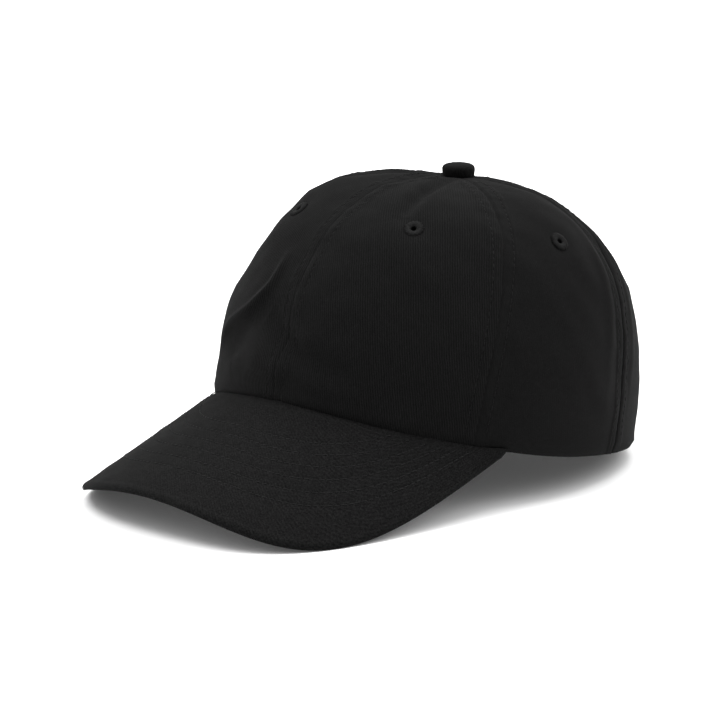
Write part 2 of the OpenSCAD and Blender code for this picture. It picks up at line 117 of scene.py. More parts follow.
HEM_CENTRE = np.array(MOUNTS["head_opening"]["pos_m"]) / MM
UP_AXIS = np.array(JOINTS["strap_adjust"]["axis"])
TILT = math.atan2(UP_AXIS[1], UP_AXIS[2])


def stand(points):
    """Cap frame in mm to row frame in metres."""
    p = np.asarray(points, float)
    x, y, z = p[..., 0], p[..., 1], p[..., 2]
    c, s = math.cos(TILT), math.sin(TILT)
    turned = np.stack([x, y * c + z * s, z * c - y * s], -1)
    return (turned + HEM_CENTRE) * MM


def unit(v):
    return v / np.maximum(np.linalg.norm(v, axis=-1, keepdims=True), 1e-12)


def smooth(x, low, high):
    f = np.clip((x - low) / (high - low), 0, 1)
    return f * f * (3 - 2 * f)


def bell(x, width):
    return np.exp(-((x / width) ** 2))


# ------------------------------------------------------------------ crown surface

# The cloth round the apex is turned forwards with the button
APEX_RISE = FRONT_REACH * math.tan(math.radians(BUTTON_TILT))


def sin_d(a):
    return np.sin(np.radians(a))


def cos_d(a):
    return np.cos(np.radians(a))


def oval(a):
    return HALF_WIDTH * sin_d(a), -np.where(cos_d(a) > 0, FRONT_REACH, REAR_REACH) * cos_d(a)


def by_direction(a, table):
    end = np.where(cos_d(a) > 0, table["front"], table["rear"])
    return end + (table["side"] - end) * sin_d(a) ** 2


def roll_drop(x):
    return BRIM_ROLL - np.sqrt(BRIM_ROLL**2 - x * x)


CORNER = tuple(float(v) for v in oval(BRIM_HALF_ANGLE))
SLOPE = math.tan(math.radians(BRIM_SLOPE))
BRIM_FRONT_HEIGHT = CORNER_HEIGHT + float(roll_drop(CORNER[0])) - SLOPE * (FRONT_REACH + CORNER[1])


def brim_height(x, y):
    return BRIM_FRONT_HEIGHT + SLOPE * (FRONT_REACH + y) - roll_drop(x)


def wrapped(a):
    b = np.abs(a)
    return np.where(b > 180, 360 - b, b)


def hem_height(a):
    b = wrapped(a)
    past = b - BRIM_HALF_ANGLE
    u = past / (180 - BRIM_HALF_ANGLE)
    x, y = oval(np.minimum(b, BRIM_HALF_ANGLE))
    arch = SIDE_ARCH * u * u * (1 - u) * 27 / 4
    behind = CORNER_HEIGHT * np.clip(1 - past / CORNER_BLEND, 0, 1) ** 2 + arch
    return np.where(past <= 0, brim_height(x, y), behind)


def front_seam(t):
    return FRONT_SEAM + FRONT_SEAM_BOW * np.sin(math.pi * t)


def across(a, t):
    """Share of the way across its panel, 0 and 1 at the seams."""
    b, s = wrapped(a), front_seam(t)
    side = (b - s) / (REAR_SEAM - s)
    rear = (b - REAR_SEAM) / (180 - REAR_SEAM)
    return np.where(b < s, b / s, np.where(b < REAR_SEAM, side, rear))


def smooth_point(a, t):
    a, t = np.broadcast_arrays(np.asarray(a, float), np.asarray(t, float))
    n = by_direction(a, FULLNESS)
    x, y = oval(a)
    h = hem_height(a)
    back = np.maximum(0, -cos_d(a))
    rho = np.cos(math.pi / 2 * t) ** (2 / n)
    zeta = np.sin(math.pi / 2 * t) ** (2 / (n * by_direction(a, RISE)))
    swell = REAR_SWELL * back * back * np.sin(math.pi * t) * (1 - t)
    level = APEX_RISE * rho * (1 - rho) ** 4 * -cos_d(a)
    return np.stack([x * rho, APEX_BACK + (y - APEX_BACK) * rho + swell,
                     h + (CROWN_HEIGHT - h) * zeta + level], -1)


def crown_normal(a, t):
    da, dt = 0.5, 0.004
    low, high = np.maximum(0, t - dt), np.minimum(0.9995, t + dt)
    return unit(np.cross(smooth_point(a + da, t) - smooth_point(a - da, t),
                         smooth_point(a, high) - smooth_point(a, low)))


def top_fraction(a):
    return np.degrees(np.arccos((APEX_HOLE_R / HALF_WIDTH) ** (by_direction(a, FULLNESS) / 2))) / 90


def edge_fraction(a):
    u = (180 - wrapped(a)) / OPENING_HALF_ANGLE
    return OPENING_TOP * np.sqrt(np.clip(1 - u * u, 0, 1))


def fraction_at(a, rise_mm):
    """Height fraction at a distance above the hem."""
    n = by_direction(a, FULLNESS) * by_direction(a, RISE)
    return np.degrees(np.arcsin((rise_mm / (CROWN_HEIGHT - hem_height(a))) ** (n / 2))) / 90


# ------------------------------------------------------------------ folds and ripples in the crown


def curve_through(points, count):
    """Catmull-Rom curve through a few points."""
    p = np.asarray(points, float)
    p = np.vstack([2 * p[0] - p[1], p, 2 * p[-1] - p[-2]])
    s = np.linspace(0, len(p) - 3 - 1e-6, count)
    i, f = s.astype(int), (s - s.astype(int))[:, None]
    a, b, c, d = p[i], p[i + 1], p[i + 2], p[i + 3]
    return 0.5 * (2 * b + (c - a) * f + (2 * a - 5 * b + 4 * c - d) * f**2 + (3 * b - a - 3 * c + d) * f**3)


def near_curve(p, route):
    """For points p of the smooth crown: distance in mm to a curve of (azimuth, height) points, the same
    signed to tell the curve's two sides apart, and how far along the curve the nearest place is."""
    ends = curve_through(route, 28)
    line = smooth_point(ends[:, 0], ends[:, 1])
    normal = crown_normal(ends[:, 0], ends[:, 1])
    best = np.full(p.shape[:-1], 1e9)
    side = np.zeros(p.shape[:-1])
    along = np.zeros(p.shape[:-1])
    for k in range(len(line) - 1):
        step = line[k + 1] - line[k]
        f = np.clip(((p - line[k]) @ step) / (step @ step), 0, 1)
        gap = p - (line[k] + f[..., None] * step)
        d = np.linalg.norm(gap, axis=-1)
        closer = d < best
        best = np.where(closer, d, best)
        side = np.where(closer, gap @ unit(np.cross(step, normal[k])), side)
        along = np.where(closer, (k + f) / (len(line) - 1), along)
    return best, side, along


# Each fold: its crest or valley as (azimuth, height) points from start to end, its height and half width in
# mm. Beside the sharp fold the cloth also falls in on the right of the route, seen from outside: how deep,
# how soon, how far away it has recovered, and where along the route it is deepest.
FOLDS = (
    {"route": ((-38, 0.055), (-31, 0.115), (-20, 0.165), (-13, 0.225), (-11.5, 0.28), (-11.5, 0.345)),
     "crest": 1.9, "width": 2.4, "dip": 4.4, "soon": 6.0, "far": 20.0, "deepest": 0.3},
    {"route": ((-10, 0.175), (-2, 0.135), (8, 0.09), (25, 0.05)), "crest": -3.4, "width": 5.5},
    {"route": ((-30, 0.02), (-17, 0.06), (-4, 0.055), (4, 0.03)), "crest": 1.2, "width": 5.5},
    {"route": ((33, 0.985), (30.5, 0.9), (28.0, 0.78), (27, 0.66), (26.5, 0.56)),
     "crest": -3.8, "width": 3.8},
    {"route": ((-10, 0.98), (-14, 0.86), (-18, 0.72)), "crest": 0.6, "width": 5.0},
    {"route": ((-54, 0.46), (-50, 0.56), (-44, 0.70), (-38, 0.84), (-32, 0.95)), "crest": -2.8, "width": 4.0},
    {"route": ((-62, 0.5), (-57, 0.66), (-52, 0.82), (-50, 0.92)), "crest": 0.6, "width": 5.0},
    {"route": ((-50, 0.22), (-46, 0.38), (-41, 0.6)), "crest": -3.0, "width": 16.0},
    {"route": ((132, 0.38), (131, 0.56), (127, 0.74)), "crest": -2.4, "width": 15.0},
    {"route": ((101, 0.06), (103, 0.3), (102, 0.5), (98, 0.68)), "crest": 0.8, "width": 3.6},
    {"route": ((116, 0.05), (117, 0.3), (116, 0.5), (115, 0.7)), "crest": 0.9, "width": 3.6},
    {"route": ((-95, 0.12), (-88, 0.25), (-86, 0.4)), "crest": -1.6, "width": 9.0},
    {"route": ((-150, 0.4), (-140, 0.55), (-136, 0.72)), "crest": -1.5, "width": 9.0},
    {"route": ((152, 0.36), (146, 0.5), (150, 0.68)), "crest": -1.3, "width": 8.0},
)


def fold_relief(p):
    total = np.zeros(p.shape[:-1])
    for f in FOLDS:
        d, side, along = near_curve(p, f["route"])
        fade = np.sin(math.pi * np.clip(along, 0.02, 0.98)) ** 0.6
        total += fade * f["crest"] * bell(d, f["width"])
        if "dip" in f:
            falls = (1 - bell(d, f["soon"])) * bell(d, f["far"])
            deep = fade * bell(along - f["deepest"], 0.3)
            total -= deep * f["dip"] * falls * (side > 0)
    return total


def ripple(p, wavelength, seed, waves=7):
    """Smooth uneven waviness, about -1 to 1, the same each time."""
    r = np.random.default_rng(seed)
    out = np.zeros(p.shape[:-1])
    for _ in range(waves):
        way = unit(r.normal(size=3))
        k = 2 * math.pi / (wavelength * r.uniform(0.7, 1.6))
        out += np.sin(k * (p @ way) + r.uniform(0, 2 * math.pi))
    return out / math.sqrt(waves)


EYELETS = [(k, sign) for k in range(3) for sign in (1, -1)]


def eyelet_azimuth(k, sign):
    """The right front eyelet is sewn a little nearer to the front seam."""
    return sign * EYELET_ANGLES[k] + (RIGHT_EYELET_SHIFT if k == 0 and sign < 0 else 0)


def seam_distance(a, t, p):
    """Distance in mm to the nearest crown seam."""
    b = wrapped(a)
    radius = np.hypot(p[..., 0], p[..., 1] - APEX_BACK)
    gap = np.minimum.reduce([b, np.abs(b - front_seam(t)), np.abs(b - REAR_SEAM), 180 - b])
    return np.radians(gap) * radius, radius


PUFF = 1.8
BELLY = 1.7
SLUMP = 2.0
EYELET_DIMPLE = 0.9
RIDGE = 0.26
GROOVE = 0.3
STITCH_DENT = 0.25
HEM_ROLL = 0.5
HEM_TUCK = 0.9
SLOW_WAVE = 0.55
FINE_WAVE = 0.16
SEAM_PUCKER = 0.16


def sag(p, t):
    """The crown's folds and slow waves, which the pieces sewn inside it follow too."""
    edges = smooth(t, 0.0, 0.05) * (1 - smooth(t, 0.93, 0.985))
    return (fold_relief(p) + SLOW_WAVE * ripple(p, 42, 11)) * edges


def relief(a, t, p):
    """How far the cloth stands out from the smooth crown, in mm."""
    middle = np.sin(math.pi * across(a, t)) ** 1.5
    puff = PUFF * middle * np.sin(math.pi * t**1.5) + BELLY * middle * bell(t - 0.12, 0.14)
    puff += SLUMP * np.exp(-(((a + 52) / 17) ** 2) - (t / 0.17) ** 2)
    for k, sign in EYELETS:
        eye = smooth_point(eyelet_azimuth(k, sign), EYELET_HEIGHT)
        puff -= EYELET_DIMPLE * bell(np.linalg.norm(p - eye, axis=-1), 6.5)
    s, radius = seam_distance(a, t, p)
    near_top = smooth(radius, 8, 26)
    proud = 1 + 0.9 * smooth(t, 0.5, 0.85) + 0.8 * (np.abs(wrapped(a) - REAR_SEAM) < 12)
    proud = proud * (1 - 0.6 * (wrapped(a) < 12))
    doubled = RIDGE * proud * smooth(s, 0.3, 1.8) * (1 - smooth(s, 5.0, 7.2)) * near_top
    uneven = (0.75 + 0.35 * ripple(p, 26, 15)) * (1 - 0.6 * (wrapped(a) < 12))
    groove = -GROOVE * np.clip(uneven, 0.1, 1.4) * bell(s, 0.6) * smooth(radius, 3, 12)
    dent = -STITCH_DENT * bell(s - STITCH_OFF, 0.55) * near_top
    pucker = ripple(p, 7.5, 5) * SEAM_PUCKER * bell(s - 3.5, 4.0) * near_top
    soft = FINE_WAVE * ripple(p, 15, 12) * smooth(t, 0.0, 0.05) * (1 - smooth(t, 0.93, 0.985))
    above = p[..., 2] - hem_height(a)
    rolled = HEM_ROLL * bell(above - 2.6, 1.9) - HEM_TUCK * bell(above, 0.9)
    return puff + sag(p, t) + soft + doubled + groove + dent + pucker + rolled


def crown_at(a, t, depth=0.0):
    a, t = np.broadcast_arrays(np.asarray(a, float), np.asarray(t, float))
    p = smooth_point(a, t)
    return p + crown_normal(a, t) * (relief(a, t, p) - depth)[..., None]


# ------------------------------------------------------------------ meshes from grids


def mesh_object(name, points, faces, uv, material, body="cap"):
    """points in the cap frame in mm; uv per vertex in mm, kept as metres in the map "cloth"."""
    mesh = bpy.data.meshes.new(name)
    mesh.from_pydata(stand(points).tolist(), [], faces)
    if uv is not None:
        loops = np.zeros(len(mesh.loops), np.int32)
        mesh.loops.foreach_get("vertex_index", loops)
        layer = mesh.uv_layers.new(name="cloth")
        layer.data.foreach_set("uv", (np.asarray(uv, float)[loops] * MM).ravel())
    mesh.polygons.foreach_set("use_smooth", np.ones(len(mesh.polygons), bool))
    mesh.validate()
    mesh.update()
    piece = bpy.data.objects.new(name, mesh)
    bpy.context.collection.objects.link(piece)
    mesh.materials.append(material)
    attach(piece, body)
    return piece


def slab_faces(rows, cols, keep=None):
    """Faces of a closed slab between two grids; keep says which cells of the grid exist."""
    keep = np.ones((rows - 1, cols - 1), bool) if keep is None else keep
    n = rows * cols
    faces = []
    for i, j in np.argwhere(keep):
        a, b = int(i * cols + j), int(i * cols + j + 1)
        c, d = int((i + 1) * cols + j + 1), int((i + 1) * cols + j)
        faces.append((a, b, c, d))
        faces.append((n + a, n + d, n + c, n + b))
        if i == 0 or not keep[i - 1, j]:
            faces.append((b, a, n + a, n + b))
        if i == rows - 2 or not keep[i + 1, j]:
            faces.append((d, c, n + c, n + d))
        if j == 0 or not keep[i, j - 1]:
            faces.append((a, d, n + d, n + a))
        if j == cols - 2 or not keep[i, j + 1]:
            faces.append((c, b, n + b, n + c))
    return faces


def compact(points, uv, faces):
    """Drops points that no face uses."""
    used = np.unique(np.concatenate([np.asarray(f) for f in faces]))
    where = np.zeros(len(points), int)
    where[used] = np.arange(len(used))
    return points[used], uv[used], [tuple(int(v) for v in where[list(f)]) for f in faces]


def slab(name, outer, inner, uv, material, body="cap", keep=None):
    rows, cols = outer.shape[:2]
    points = np.concatenate([outer.reshape(-1, 3), inner.reshape(-1, 3)])
    maps = np.concatenate([uv.reshape(-1, 2)] * 2)
    points, maps, faces = compact(points, maps, slab_faces(rows, cols, keep))
    return mesh_object(name, points, faces, maps, material, body)


def cut(grid, keep=None):
    """Flat size of cloth over a grid of points in mm: (width, length) in metres, along the longest row and
    the longest column, and the area in square metres."""
    a, b = grid[1:, 1:] - grid[:-1, :-1], grid[1:, :-1] - grid[:-1, 1:]
    cells = np.linalg.norm(np.cross(a, b), axis=-1) / 2
    area = float(cells.sum() if keep is None else cells[keep].sum()) * MM**2
    size = (float(lengths(grid, 1)[:, -1].max()) * MM, float(lengths(grid, 0)[-1].max()) * MM)
    return size, min(area, size[0] * size[1])


def lengths(grid, axis):
    """Running length in mm along one axis of a grid of points."""
    step = np.linalg.norm(np.diff(grid, axis=axis), axis=-1)
    zero = np.zeros_like(np.take(step, [0], axis=axis))
    return np.concatenate([zero, np.cumsum(step, axis=axis)], axis=axis)


def tube_parts(paths, normals, radii, sides=6):
    """Points and faces of many closed tubes. paths and normals are (tube, station, 3)."""
    tubes, stations = paths.shape[:2]
    ahead = np.gradient(paths, axis=1)
    side = unit(np.cross(ahead, normals))
    up = unit(np.cross(side, ahead))
    turn = np.arange(sides) * 2 * math.pi / sides
    c, s = np.cos(turn)[:, None], np.sin(turn)[:, None]
    ring = side[:, :, None] * c + up[:, :, None] * s
    points = paths[:, :, None] + ring * radii[None, :, None, None]
    faces = []
    for k in range(tubes):
        base = k * stations * sides
        for i in range(stations - 1):
            for j in range(sides):
                a, b = base + i * sides + j, base + i * sides + (j + 1) % sides
                faces.append((a, b, b + sides, a + sides))
        faces.append(tuple(base + j for j in range(sides))[::-1])
        faces.append(tuple(base + (stations - 1) * sides + j for j in range(sides)))
    return points.reshape(-1, 3), faces


def resample(path, normals, count):
    """Evenly spaced points along a path, with normals."""
    run = lengths(path, 0)
    at = np.linspace(0, run[-1], count)

    def pick(v):
        return np.stack([np.interp(at, run, v[:, k]) for k in range(3)], -1)

    return pick(path), unit(pick(normals))


def stitch_points(path, normals, pitch=STITCH_PITCH, r=THREAD_R):
    """Separate stitches along a path, each a short thread that dips into the cloth at its ends."""
    total = lengths(path, 0)[-1]
    count = max(1, int(total / pitch))
    stations = 6
    p, n = resample(path, normals, count * 12 + 1)
    starts = np.arange(count) * 12
    share = np.linspace(0, 1 - STITCH_GAP / pitch, stations)
    where = starts[:, None] + share[None] * 12
    low = where.astype(int)
    f = (where - low)[..., None]
    q = p[low] * (1 - f) + p[low + 1] * f
    m = n[low]
    lift = r * (1.5 * np.sin(np.linspace(0.12, math.pi - 0.12, stations)) ** 0.6 - 0.95)
    q = q + m * lift[None, :, None]
    radii = r * np.array([0.72, 0.98, 1.0, 1.0, 0.98, 0.72])
    return tube_parts(q, m, radii)


def stitches(name, rows, material, body="cap", **how):
    """One object for all stitches of several (path, normals) rows."""
    points, faces, base = [], [], 0
    for path, normals in rows:
        p, f = stitch_points(path, normals, **how)
        points.append(p)
        faces += [tuple(v + base for v in face) for face in f]
        base += len(p)
    return mesh_object(name, np.concatenate(points), faces, None, material, body)


# ------------------------------------------------------------------ materials


class Graph:
    """Small helper for building a material's nodes. Inputs are named with underscores for spaces."""

    def __init__(self, name):
        self.material = bpy.data.materials.new(name)
        self.material.use_nodes = True
        self.tree = self.material.node_tree
        self.tree.nodes.clear()
        out = self.node("OutputMaterial")
        self.shader = self.node("BsdfPrincipled")
        self.put(out.inputs["Surface"], self.shader.outputs[0])

    def put(self, socket, value):
        if isinstance(value, bpy.types.NodeSocket):
            self.tree.links.new(value, socket)
        else:
            socket.default_value = value

    def fill(self, node, inputs):
        for name, value in inputs.items():
            self.put(node.inputs[name.replace("_", " ")], value)

    def node(self, kind, **inputs):
        node = self.tree.nodes.new("ShaderNode" + kind)
        self.fill(node, inputs)
        return node

    def surface(self, **inputs):
        """Sets the shader's inputs and gives the finished material."""
        self.fill(self.shader, inputs)
        return self.material

    def math(self, kind, a, b=0.0, c=0.0, clamp=False):
        node = self.node("Math")
        node.operation, node.use_clamp = kind, clamp
        for k, v in enumerate((a, b, c)):
            self.put(node.inputs[k], v)
        return node.outputs[0]

    def noise(self, vector, scale, detail=2.0, rough=0.5):
        node = self.node("TexNoise", Scale=scale, Detail=detail, Roughness=rough, Vector=vector)
        return node.outputs["Fac"]

    def mix(self, share, a, b):
        node = self.tree.nodes.new("ShaderNodeMix")
        node.data_type = "RGBA"
        self.put(node.inputs["Factor"], share)
        for socket, v in ((node.inputs["A"], a), (node.inputs["B"], b)):
            self.put(socket, v if isinstance(v, bpy.types.NodeSocket) else (*v, 1.0))
        return node.outputs["Result"]

    def tinted(self, colour, strength):
        """A colour times a value."""
        node = self.node("CombineColor")
        for k, c in enumerate(colour):
            self.put(node.inputs[k], self.math("MULTIPLY", strength, c))
        return node.outputs[0]

    def bump(self, height, strength, distance):
        return self.node("Bump", Strength=strength, Distance=distance, Height=height).outputs["Normal"]

    def object_place(self):
        return self.node("TexCoord").outputs["Object"]

    def cloth_map(self):
        node = self.node("UVMap")
        node.uv_map = "cloth"
        split = self.node("SeparateXYZ", Vector=node.outputs[0])
        return node.outputs[0], split.outputs[0], split.outputs[1]

    def sine(self, value, period_m):
        turned = self.math("MULTIPLY_ADD", value, 2 * math.pi / period_m)
        return self.math("MULTIPLY_ADD", self.math("SINE", turned), 0.5, 0.5)


def scaled(colour, k):
    return tuple(min(1.0, c * k) for c in colour)


BLACK = (0.0046, 0.0046, 0.0046)


def twill(name, rib=1.07, lean=0.0, rib_bump_and_shade=0.8, grainy=0.6, flecks=2600, strength=0.55):
    """Washed cotton twill: ribs leaning from the warp, broken into yarns, with lint and faded patches. The
    rib stripes in the colour are partly worn rib tops and partly painted shade in the gaps between the ribs;
    the rib strength sets this painted shade and the ribs' bump together.
    """
    g = Graph(name)
    vector, u, v = g.cloth_map()
    place = g.object_place()
    wobble = g.math("MULTIPLY", g.noise(vector, 260, 2.0), 0.00055)
    c, s = math.cos(math.radians(lean)), math.sin(math.radians(lean))
    over = g.math("ADD", g.math("MULTIPLY_ADD", u, c, g.math("MULTIPLY", v, s)), wobble)
    along = g.math("MULTIPLY_ADD", v, c, g.math("MULTIPLY", u, -s))
    ribs = g.sine(over, rib * MM)
    yarns = g.sine(g.math("MULTIPLY_ADD", over, 0.9, along), 0.55 * MM)
    grain = g.noise(place, flecks, 3.0, 0.65)
    patch = g.noise(place, 32, 3.0, 0.6)
    slub = g.noise(place, 420, 2.0, 0.6)
    weave = g.math("MULTIPLY", ribs, min(1.0, 2 * rib_bump_and_shade))
    height = g.math("MULTIPLY_ADD", yarns, 0.3, g.math("MULTIPLY_ADD", grain, 0.75 * grainy, weave))
    lint = g.math("MULTIPLY_ADD", g.noise(place, 1100, 1.0, 0.5), 9.0, -6.0, clamp=True)
    even = g.math("MULTIPLY_ADD", patch, 0.35, g.math("MULTIPLY_ADD", slub, 0.35, 0.65))
    # Rib stripes in the colour: partly worn rib tops, partly painted shade in the gaps between the ribs.
    tone = g.math("MULTIPLY_ADD", ribs, 2 * rib_bump_and_shade, -rib_bump_and_shade)
    speck = g.math("MULTIPLY_ADD", grain, 4 * grainy, -2 * grainy)
    share = g.math("MULTIPLY", g.math("MAXIMUM", g.math("ADD", g.math("ADD", tone, speck), 1.0), 0.15), even)
    bright = g.math("MULTIPLY_ADD", lint, 0.6, share)
    return g.surface(Base_Color=g.tinted(BLACK, bright), Roughness=0.92, Specular_IOR_Level=0.05,
                     Sheen_Weight=0.015, Sheen_Roughness=0.45, Normal=g.bump(height, strength, 0.00022))


def thread(name, colour):
    """Twisted sewing thread."""
    g = Graph(name)
    place = g.object_place()
    twist = g.noise(place, 5200, 2.0, 0.5)
    tone = g.noise(place, 900, 2.0, 0.5)
    return g.surface(Base_Color=g.mix(tone, scaled(colour, 0.6), scaled(colour, 1.7)), Roughness=0.6,
                     Specular_IOR_Level=0.07, Sheen_Weight=0.01, Normal=g.bump(twist, 0.6, 0.0002))


def plain_weave(name, colour, pitch=0.7):
    """Plain woven tape or label: over-and-under yarns."""
    g = Graph(name)
    _, u, v = g.cloth_map()
    place = g.object_place()
    warp, weft = g.sine(u, pitch * MM), g.sine(v, pitch * MM)
    check = g.math("ABSOLUTE", g.math("SUBTRACT", warp, weft))
    grain = g.noise(place, 2400, 3.0, 0.6)
    patch = g.noise(place, 60, 2.0, 0.5)
    height = g.math("MULTIPLY_ADD", grain, 0.5, check)
    share = g.math("MULTIPLY_ADD", patch, 0.6, g.math("MULTIPLY_ADD", check, 0.4, -0.2), clamp=True)
    return g.surface(Base_Color=g.mix(share, scaled(colour, 0.7), scaled(colour, 1.5)), Roughness=0.85,
                     Specular_IOR_Level=0.15, Sheen_Weight=0.03, Normal=g.bump(height, 0.5, 0.00015))


def metal(name, colour, rough):
    """Satin plated metal with fine scratches and a little wear."""
    g = Graph(name)
    place = g.object_place()
    haze = g.noise(place, 240, 4.0, 0.6)
    fine = g.noise(place, 3200, 3.0, 0.7)
    return g.surface(Base_Color=g.mix(haze, scaled(colour, 0.75), scaled(colour, 1.2)), Metallic=1.0,
                     Roughness=g.math("MULTIPLY_ADD", haze, 0.25, rough - 0.1),
                     Normal=g.bump(fine, 0.12, 0.0001))


def plain_solid(name, colour, rough, grain_scale, strength):
    """Moulded board or fleece: an even solid with a fine grain."""
    g = Graph(name)
    place = g.object_place()
    grain = g.noise(place, grain_scale, 4.0, 0.6)
    return g.surface(Base_Color=g.mix(grain, scaled(colour, 0.8), scaled(colour, 1.1)), Roughness=rough,
                     Normal=g.bump(grain, strength, 0.0003))


CROWN_TWILL = twill("crown_twill", lean=15.0, rib_bump_and_shade=0.42, grainy=0.8)
# Same cloth as the crown twill: the side panels get a copy with less painted rib shade, because the light
# falls along their ribs there.
SIDE_TWILL_LESS_RIB_SHADE = twill("crown_side_twill_less_rib_shade", lean=15.0, rib_bump_and_shade=0.08, grainy=0.5)
BRIM_TWILL = twill("brim_twill", rib=0.9, lean=52.0, rib_bump_and_shade=0.2, grainy=1.5, flecks=1500, strength=0.25)
UNDER_TWILL = twill("brim_under_twill", rib=0.9, lean=52.0, rib_bump_and_shade=0.35, grainy=0.8)
BUTTON_TWILL = twill("button_twill", rib=0.8, rib_bump_and_shade=0.3)
STRAP_TWILL = twill("strap_twill", rib_bump_and_shade=0.5)
BAND_TWILL = twill("sweatband_twill", rib=0.8, lean=35.0, rib_bump_and_shade=0.4, strength=0.4)
STITCH_THREAD = thread("stitch_thread", (0.0042, 0.0042, 0.0042))
# Painted highlight: the brim rows' black thread is painted lighter than the crown's stitch thread, so that
# the rows show as bright lines.
BRIM_THREAD_PAINTED_HIGHLIGHT = thread("brim_row_thread_painted_highlight", (0.0075, 0.0075, 0.0075))
EYELET_THREAD = thread("eyelet_thread", (0.003, 0.003, 0.003))
TAPE_WEAVE = plain_weave("seam_tape", (0.009, 0.009, 0.009))
LABEL_WEAVE = plain_weave("label_satin", (0.035, 0.035, 0.035), 0.4)
PAD_FLEECE = plain_solid("padding_fleece", (0.6, 0.6, 0.57), 0.95, 1800, 0.6)
BOARD_PLASTIC = plain_solid("board_plastic", (0.03, 0.03, 0.03), 0.5, 600, 0.2)
BUCKLE_METAL = metal("buckle_metal", (0.34, 0.33, 0.32), 0.32)
BUTTON_METAL = metal("button_metal", (0.6, 0.6, 0.6), 0.35)


def repaint(node, material):
    mesh = NODES[node].data
    mesh.materials.clear()
    mesh.materials.append(material)


# ------------------------------------------------------------------ crown panels


SIDES = {"left": 1, "right": -1}
PANELS = ("front", "side", "rear")
PANEL_ROWS = 150
PANEL_COLS = 118


def seam_azimuth(k, t):
    return (np.zeros_like(t), front_seam(t), np.full_like(t, REAR_SEAM), np.full_like(t, 180.0))[k]


def dense_ends(count, pull=0.55):
    """Shares from 0 to 1, closer together near both ends."""
    s = np.linspace(0, 1, count)
    return s - pull * np.sin(2 * math.pi * s) / (2 * math.pi)


def panel_grid(k, rows, cols, sign):
    """Azimuths and height fractions of a panel's grid, left to right as seen from outside."""
    u = dense_ends(cols)
    if k == 2:
        share = 1 - OPENING_HALF_ANGLE / (180 - REAR_SEAM)
        solid = np.linspace(0, 1, cols - cols // 2)[:-1] * share
        over = 1 - (1 - share) * np.cos(np.linspace(0, math.pi / 2, cols // 2 + 1))
        u = np.concatenate([solid, over])
    v = np.linspace(0, 1, rows)
    zero = np.zeros_like(u)
    a0 = seam_azimuth(k, zero) * (1 - u) + seam_azimuth(k + 1, zero) * u
    t = edge_fraction(a0)[None] + (top_fraction(a0) - edge_fraction(a0))[None] * v[:, None]
    left, right = seam_azimuth(k, t), seam_azimuth(k + 1, t)
    a = left + (right - left) * u[None]
    if sign < 0:
        a, t = -a[:, ::-1], t[:, ::-1]
    return a, t


def crown_panel(k, side):
    sign = SIDES[side]
    name = f"{PANELS[k]}_{side}_panel"
    a, t = panel_grid(k, PANEL_ROWS, PANEL_COLS, sign)
    outer, inner = crown_at(a, t), crown_at(a, t, CLOTH)
    up = lengths(outer, 0)
    over = lengths(outer, 1)
    centre = over[:, over.shape[1] // 2][:, None]
    uv = np.stack([over - centre, up], -1)
    cell = (outer[:-1, :-1] + outer[1:, 1:]) / 2
    eye = crown_at(eyelet_azimuth(k, sign), EYELET_HEIGHT)
    keep = np.linalg.norm(cell - eye, axis=-1) > EYELET_R - 1.4
    piece = slab(name + "_cloth", outer, inner, uv, SIDE_TWILL_LESS_RIB_SHADE if k == 1 else CROWN_TWILL, keep=keep)
    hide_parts(name)


def eyelet(k, side):
    """Satin-stitched eyelet: close threads from the hole out over a padded ring, on both faces."""
    a = eyelet_azimuth(k, SIDES[side])
    n = crown_normal(a, EYELET_HEIGHT)
    centre = crown_at(a, EYELET_HEIGHT)
    e1 = unit(np.cross([0, 0, 1.0], n))
    e2 = np.cross(n, e1)
    count = 44
    r = np.random.default_rng(30 + k + (3 if side == "right" else 0))
    paths, normals = [], []
    for m in range(count):
        turn = 2 * math.pi * (m + r.uniform(-0.12, 0.12)) / count
        out = e1 * math.cos(turn) + e2 * math.sin(turn)
        reach = EYELET_R + r.uniform(-0.25, 0.3)
        for face, lift in ((1, 0.0), (-1, CLOTH)):
            s = np.linspace(0, 1, 9)
            radius = EYELET_HOLE_R + (reach - EYELET_HOLE_R) * s
            height = 0.95 * np.sin(math.pi * np.clip(s * 0.93 + 0.05, 0, 1)) ** 0.55 - 0.25
            paths.append(centre + out * radius[:, None] + n * (face * height - lift)[:, None])
            normals.append(np.repeat((n * face)[None], 9, 0))
    radii = np.array([0.26, 0.3, 0.32, 0.34, 0.35, 0.35, 0.34, 0.3, 0.2])
    points, faces = tube_parts(np.array(paths), np.array(normals), radii)
    piece = mesh_object(f"{PANELS[k]}_{side}_eyelet_stitching", points, faces, None, EYELET_THREAD)
    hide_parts(f"eyelet_{PANELS[k]}_{side}")


for k in range(3):
    for side in SIDES:
        crown_panel(k, side)
        eyelet(k, side)


def seam_row(seam, off_mm, t_from, t_to, sign):
    """Path and normals of a stitch row beside a crown seam."""
    t = np.linspace(t_from, t_to, 160)
    a0 = seam_azimuth(seam, t)
    base = smooth_point(a0, t)
    radius = np.hypot(base[:, 0], base[:, 1] - APEX_BACK)
    a = (a0 + np.degrees(off_mm / radius)) * sign
    return crown_at(a, t), crown_normal(a, t)


rows = []
for sign in (1, -1):
    rows.append(seam_row(0, STITCH_OFF, 0.012, 0.93, sign))
    for seam in (1, 2):
        for off in (STITCH_OFF, -STITCH_OFF):
            rows.append(seam_row(seam, off, 0.012, 0.93, sign))
    rows.append(seam_row(3, -STITCH_OFF, OPENING_TOP + 0.02, 0.93, sign))
piece = stitches("crown_seam_stitches", rows, STITCH_THREAD)
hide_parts("crown_topstitching")


